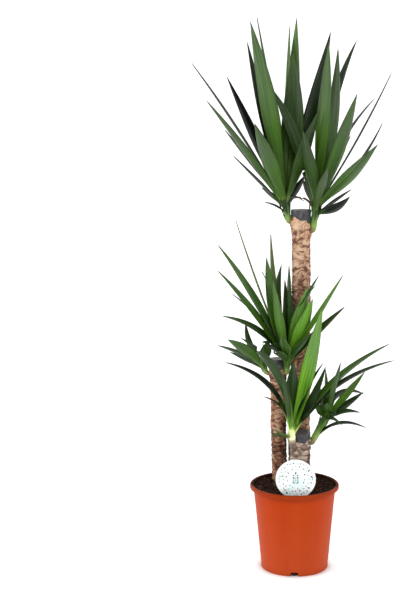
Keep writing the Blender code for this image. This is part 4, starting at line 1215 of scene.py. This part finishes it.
def tip_place(across, up, depth):
    """A tip's real place: on the line from the eye through (across, up) in the middle plane."""
    ray = Vector((across * MM, 0.0, up * MM)) - EYE
    return EYE + ray * ((depth * MM - EYE.y) / ray.y)


def blade_share(s):
    """A blade's width at s, as a share of its full width."""
    if s < BLADE_WIDEST:
        rise = s / BLADE_WIDEST
        return BLADE_NECK + (1 - BLADE_NECK) * rise * rise * (3 - 2 * rise)
    return 1 - ((s - BLADE_WIDEST) / (1 - BLADE_WIDEST)) ** BLADE_TAPER


def blade_line(root, tip, arch, out):
    """Points and directions along a blade's middle."""
    chord = tip - root
    direction = chord.normalized()
    lift = UP - direction * direction.z
    if lift.length < 0.2:
        lift = -out
    lift = (lift - direction * lift.dot(direction)).normalized() * arch * MIDDLE_TO_CONTROL
    one, two = root + chord / 3 + lift, root + chord * 2 / 3 + lift
    points = []
    for step in range(BLADE_STATIONS + 1):
        s = step / BLADE_STATIONS
        t = 1 - s
        place = root * t ** 3 + one * 3 * t * t * s + two * 3 * t * s * s + tip * s ** 3
        slope = (one - root) * t * t + (two - one) * 2 * t * s + (tip - two) * s * s
        points.append((s, place, slope.normalized()))
    return points


def blade_frame(tangent, place, axis, out, seen):
    """The blade's width and upper-face directions, turned so that its share seen is right."""
    grown = axis.cross(out)
    grown = (grown - tangent * grown.dot(tangent)).normalized()
    sight = (place - EYE).normalized()
    broad = tangent.cross(sight).normalized()
    edge = broad.cross(tangent).normalized()
    if seen is None:
        width = grown
    else:
        width = (broad * math.copysign(seen, grown.dot(broad))
                 + edge * math.copysign(math.sqrt(1 - seen * seen), grown.dot(edge)))
    upper = width.cross(tangent).normalized()
    if upper.dot(axis - out) < 0:
        upper = -upper
    return width, upper


def blade(root, tip, width, arch, seen, axis, root_half, chance):
    """One leaf: its points, faces and stored values."""
    out = (tip - root) - axis * (tip - root).dot(axis)
    out = out.normalized() if out.length > BLADE_UPRIGHT * MM else Vector((0, -1, 0))
    length = (tip - root).length
    steps = np.linspace(-1.0, 1.0, BLADE_ACROSS)
    back = range(BLADE_ACROSS - 2, 0, -1)
    sides = [*steps, *(steps[i] for i in back)]
    left_wave, right_wave, _ = (chance.uniform(0, math.tau) for _ in range(3))
    verts, along, across, blades = [], [], [], []
    seed = chance.uniform(0, 900)
    for s, place, tangent in blade_line(root, tip, arch, out)[:-1]:
        side, upper = blade_frame(tangent, place, axis, out, seen)
        blend = min(1.0, s / BLADE_BLEND)
        full = width * blade_share(s) / 2
        half = full * blend + min(root_half, full) * (1 - blend)
        near_root = max(0.0, 1 - s / BLADE_ROOT_PART)
        sink = half * (BLADE_FOLD + (BLADE_FOLD_NECK - BLADE_FOLD) * near_root)
        thick = (BLADE_THICK + (BLADE_THICK_ROOT - BLADE_THICK) * near_root) * MM
        bow = BLADE_BOW + BLADE_BOW_GAIN * min(1.0, s / 0.5)
        ripple = BLADE_RIPPLE * half * (1 - near_root) * (1 - s)
        surface = []
        for t in steps:
            lift = sink * (2 * abs(t) ** bow - 1)
            wave = (left_wave if t < 0 else right_wave) + s * length / (RIPPLE_LENGTH * MM)
            sway = math.sin(wave) * ripple * t * t
            surface.append(place + side * half * t + upper * (lift + sway))
        rounded = [thick * math.sqrt(max(0.0, 1 - t * t)) for t in steps]
        verts += surface + [surface[i] - upper * rounded[i] for i in back]
        along += [s] * len(sides)
        across += sides
        blades += [(t * half / MM + seed, s * length / MM, seed) for t in sides]
    verts.append(tip)
    along.append(1.0)
    across.append(0.0)
    blades.append((seed, length / MM, seed))
    around = 2 * BLADE_ACROSS - 2
    faces = grid_faces(BLADE_STATIONS, around, True)
    for k in range(1, BLADE_ACROSS - 1):
        opposite = around - k
        faces.append((k - 1, k, opposite, (opposite + 1) % around))
    faces.append((BLADE_ACROSS - 2, BLADE_ACROSS - 1, BLADE_ACROSS))
    last = (BLADE_STATIONS - 1) * around
    faces += [(last + k, last + (k + 1) % around, last + around) for k in range(around)]
    return verts, faces, along, across, blades


def leaf_root(head, tip, number):
    """Where a leaf leaves its shoot, as in the solids."""
    _, _, knee, heart, _ = shoot_line(head)
    chord = tip - heart
    rise = math.degrees(math.asin(max(-1.0, min(1.0, chord.z / chord.length))))
    share = max(ROOT_LOWEST, min(1.0, (rise - ROOT_RISE_FROM) / ROOT_RISE_RANGE))
    root = knee.lerp(heart, share)
    root += (heart - knee).normalized() * ((number * STAGGER_TURN) % 1.0 - 0.5) * STAGGER * MM
    out = tip - root
    return root + Vector((out.x, out.y, 0.0)).normalized() * ROOT_OFFSET * MM


def leaf_list(head, behind_chance):
    """Each leaf's root, tip, width, arch, share seen, growing direction and tone."""
    grown = (vec(head["heart"]) - vec(head["foot"])).normalized()
    grown = (grown + Vector((0, 0, 2))).normalized()
    leaves = []
    for number, (leaf, letter) in enumerate(zip(head["leaves"], head["tones"])):
        across, up, depth, width, arch, seen = leaf
        tip = tip_place(across, up, depth)
        leaves.append((leaf_root(head, tip, number), tip, width * MM, arch * MM, seen, grown,
                       TONES[letter]))
    count, turn, length = head["behind"]
    heart = vec(head["heart"])
    for number in range(count):
        share = number / max(1, count - 1) - 0.5
        angle = math.radians(turn) + BEHIND_SPREAD * 2 * share
        rise = BEHIND_RISE + behind_chance.uniform(-BEHIND_RISE_SPREAD, BEHIND_RISE_SPREAD)
        reach = length * MM * behind_chance.uniform(*BEHIND_LENGTHS)
        tip = heart + reach * Vector((math.cos(angle) * math.cos(rise),
                                      math.sin(angle) * math.cos(rise), math.sin(rise)))
        leaves.append((leaf_root(head, tip, number + 0.5), tip, BEHIND_WIDTH * MM,
                       reach * BEHIND_ARCH, None, UP, TONES["M"]))
    return leaves


def shoot_surface(head):
    """The shoot as a ribbed, sheathed stem: points, faces and stored values."""
    deep, foot, knee, heart, bud = shoot_line(head)
    knots = [deep, foot, knee, knee.lerp(heart, 0.5), heart, bud]
    full = head["shoot"] * MM
    radii = [full * SHOOT_NECK] * 3 + [full, full * SHOOT_CROWN, full * SHOOT_TIP]
    reach = [0.0]
    for one, two in zip(knots, knots[1:]):
        reach.append(reach[-1] + (two - one).length)
    verts, along, across, blades = [], [], [], []
    side = (knots[1] - knots[0]).cross(UP).normalized()
    places, sizes = [], []
    for row in range(SHOOT_ROWS + 1):
        far = reach[-1] * row / SHOOT_ROWS
        part = max(k for k in range(len(knots) - 1) if reach[k] <= far + 1e-9)
        share = min(1.0, (far - reach[part]) / (reach[part + 1] - reach[part]))
        places.append(knots[part].lerp(knots[part + 1], share))
        sizes.append(radii[part] + (radii[part + 1] - radii[part]) * share)
    for row, (place, size) in enumerate(zip(places, sizes)):
        ahead, back = places[min(row + 1, SHOOT_ROWS)], places[max(row - 1, 0)]
        direction = (ahead - back).normalized()
        side = (side - direction * side.dot(direction)).normalized()
        up = direction.cross(side)
        s = row / SHOOT_ROWS
        ring = s * SHOOT_SHEATHS
        for k in range(SHOOT_SIDES):
            angle = math.tau * k / SHOOT_SIDES
            sheath = (ring + 0.5 * math.sin(angle + 1.7 * math.floor(ring))) % 1.0
            swell = 1 + 0.10 * sheath * min(1.0, 4 * s) + 0.02 * math.sin(9 * angle)
            verts.append(place + (side * math.cos(angle) + up * math.sin(angle)) * size * swell)
            along.append(s)
            across.append(0.5)
            blades.append((k * 1.4, s * reach[-1] / MM, 3.0))
    faces = tube_faces(SHOOT_ROWS + 1, SHOOT_SIDES)
    return verts, faces, along, across, blades


def scale_list(head, chance):
    """Short scale leaves that hug the shoot below the crown."""
    _, _, knee, heart, _ = shoot_line(head)
    rise = (heart - knee).normalized()
    side = rise.cross(Vector((0.3, 1.0, 0.2))).normalized()
    scales = []
    for number in range(head.get("scales", SCALES)):
        turn = number * math.tau * STAGGER_TURN + 0.4
        out = side * math.cos(turn) + rise.cross(side) * math.sin(turn)
        share = 0.10 + 0.75 * number / SCALES
        root = knee.lerp(heart, share) + out * head["shoot"] * 0.55 * MM
        length = chance.uniform(*SCALE_LENGTHS) * MM
        tip = root + (rise + out * SCALE_LEAN).normalized() * length
        width = head["shoot"] * chance.uniform(*SCALE_WIDTHS) * MM
        tone = TONES[chance.choice("DMML")]
        scales.append((root, tip, width, -0.05 * length, None, rise, tone))
    return scales


def make_head(name, materials, behind_chance, chance):
    """A head of leaves with its shoot, as one mesh."""
    head = HEADS[name]
    verts, faces, along, across, blades = shoot_surface(head)
    # painted light and shade: each head's leaves are made brighter or darker as a whole, and their
    # tones spread apart
    depth, painted_brightness, spread = head["finish"]
    pale = head.get("pale", PALE_BASE)
    looks, kinds = [SHOOT_TONE] * len(verts), [1] * len(faces)
    root_half = head["shoot"] * MM * ROOT_SHARE
    wanted = leaf_list(head, behind_chance) + scale_list(head, chance)
    for root, tip, width, arch, seen, grown, tone in wanted:
        made = blade(root, tip, width, arch, seen, grown, root_half, chance)
        start = len(verts)
        verts += made[0]
        faces += [tuple(start + index for index in face) for face in made[1]]
        kinds += [0] * len(made[1])
        along += made[2]
        across += made[3]
        blades += made[4]
        # how light a leaf is: partly its own tone, partly painted shade for leaves in shadow
        shade = tone[0] + chance.uniform(-TONE_SWAY, TONE_SWAY)
        shade = clamp(MIDDLE_TONE + (shade - MIDDLE_TONE) * spread)
        for s, t in zip(made[2], made[3]):
            # painted light: one half of a blade is made lime-bright over its middle, through
            # yellow
            lit = max(0.0, 1 - abs(s - LIT_MIDDLE) / LIT_REACH) if t > LIT_SIDE else 0.0
            looks.append((shade, min(1.0, tone[1] + tone[3] * lit), tone[2]))
    thing = add_piece(name + "_foliage", verts, faces, materials)
    for polygon, kind in zip(thing.data.polygons, kinds):
        polygon.material_index = kind
    light, yellow, dry = np.array(looks).T
    above = np.array([place.z for place in verts]) / MM - head["foot"][2]
    brown = np.clip(BROWN_FROM * pale - above, 0.0, BROWN_RUN) / BROWN_RUN
    steady = np.ones(len(verts))
    values = {"pale": steady * pale, "depth": steady * depth, "painted_brightness": steady * painted_brightness,
              "along": along, "across": across, "light": light, "yellow": yellow,
              "dry": np.maximum(dry, brown)}
    for value, given in values.items():
        put_values(thing.data, value, given)
    put_values(thing.data, "blade", blades, "FLOAT_VECTOR")
    stand_for(thing, name)


def make_stage():
    """A plain pale floor that curves up into a plain backdrop, which glows far behind."""
    foot = STAGE_BACK - STAGE_BEND
    line = [(STAGE_FRONT, 0.0), (-1.5, 0.0), (0.0, 0.0), (foot, 0.0)]
    for step in range(1, STAGE_STEPS + 1):
        a = math.pi / 2 * step / STAGE_STEPS
        line.append((foot + STAGE_BEND * math.sin(a), STAGE_BEND - STAGE_BEND * math.cos(a)))
    line.append((STAGE_BACK, STAGE_HEIGHT))
    verts = [(side * STAGE_HALF, y, z) for y, z in line for side in (-1, 1)]
    look = Look("backdrop", roughness=0.95, Specular_IOR_Level=0.1, Emission_Strength=1.0)
    away = {0: look.place((1 / GLOW_REACH, 1 / GLOW_REACH, 1 / GLOW_REACH))}
    reach = look.node("ShaderNodeVectorMath", away, operation="LENGTH").outputs["Value"]
    look.feed("Emission Color", look.ramp(reach, GLOW))
    pale = look.finished(look.ramp(look.grain(look.place(), 0.6, 1.0), STAGE_TINTS))
    stage = add_piece("backdrop", verts, grid_faces(len(line), 2, False), [pale])


def make_lights():
    """Soft studio light: the sky, a box at each side in front, and one overhead."""
    world = bpy.data.worlds.new("studio")
    world.use_nodes = True
    nodes, links = world.node_tree.nodes, world.node_tree.links
    sky = nodes["Background"]
    sky.inputs["Color"].default_value = (1.0, 1.0, 1.0, 1.0)
    seen = nodes.new("ShaderNodeLightPath").outputs["Is Camera Ray"]
    strength = nodes.new("ShaderNodeMapRange")
    strength.inputs["To Min"].default_value = SKY_LIGHT
    strength.inputs["To Max"].default_value = SKY_SEEN
    links.new(seen, strength.inputs["Value"])
    links.new(strength.outputs["Result"], sky.inputs["Strength"])
    bpy.context.scene.world = world
    for name, (place, aim, size, power) in LAMPS.items():
        lamp = bpy.data.lights.new(name, "AREA")
        lamp.shape = "RECTANGLE"
        lamp.size, lamp.size_y = size
        lamp.energy = power
        thing = bpy.data.objects.new(name, lamp)
        thing.location = place
        thing.rotation_euler = (Vector(aim) - Vector(place)).to_track_quat("-Z", "Y").to_euler()
        bpy.context.scene.collection.objects.link(thing)


def make_camera():
    """The photograph's view: aimed at the plant, then turned so that it stands off centre."""
    ahead = (AIM - EYE).normalized()
    right = ahead.cross(UP).normalized()
    up = right.cross(ahead)
    turn = math.atan(PLANT_OFFSET_PIXELS / FOCAL_PIXELS)
    sideways = right * math.cos(turn) + ahead * math.sin(turn)
    ahead = ahead * math.cos(turn) - right * math.sin(turn)
    camera = bpy.data.cameras.new("photo_view")
    camera.sensor_width = SENSOR
    camera.sensor_fit = "AUTO"
    camera.lens = FOCAL_PIXELS * SENSOR / FRAME_HEIGHT
    thing = bpy.data.objects.new("photo_view", camera)
    thing.location = EYE
    thing.rotation_euler = Matrix((sideways, up, -ahead)).transposed().to_euler()
    bpy.context.scene.collection.objects.link(thing)
    bpy.context.scene.camera = thing


def main():
    """Build every piece, the studio and the camera."""
    bpy.context.scene.view_settings.view_transform = "Standard"
    make_camera()
    make_pot()
    make_soil()
    make_crumbs()
    for number, (name, cane) in enumerate(CANES.items()):
        bark = bark_look(cane["slot"], *cane["bark"])
        make_cane(name, bark, BARK_SEED + 20 * number)
    wax = wax_look()
    for number, name in enumerate(WAX_SEALS):
        make_wax(name, wax, WAX_SEED + 10 * number)
    materials = [leaf_look(), shoot_look()]
    behind_chance, chance = random.Random(BEHIND_SEED), random.Random(RANDOM_SEED)
    for name in HEADS:
        make_head(name, materials, behind_chance, chance)
    make_label()
    make_stage()
    make_lights()


main()
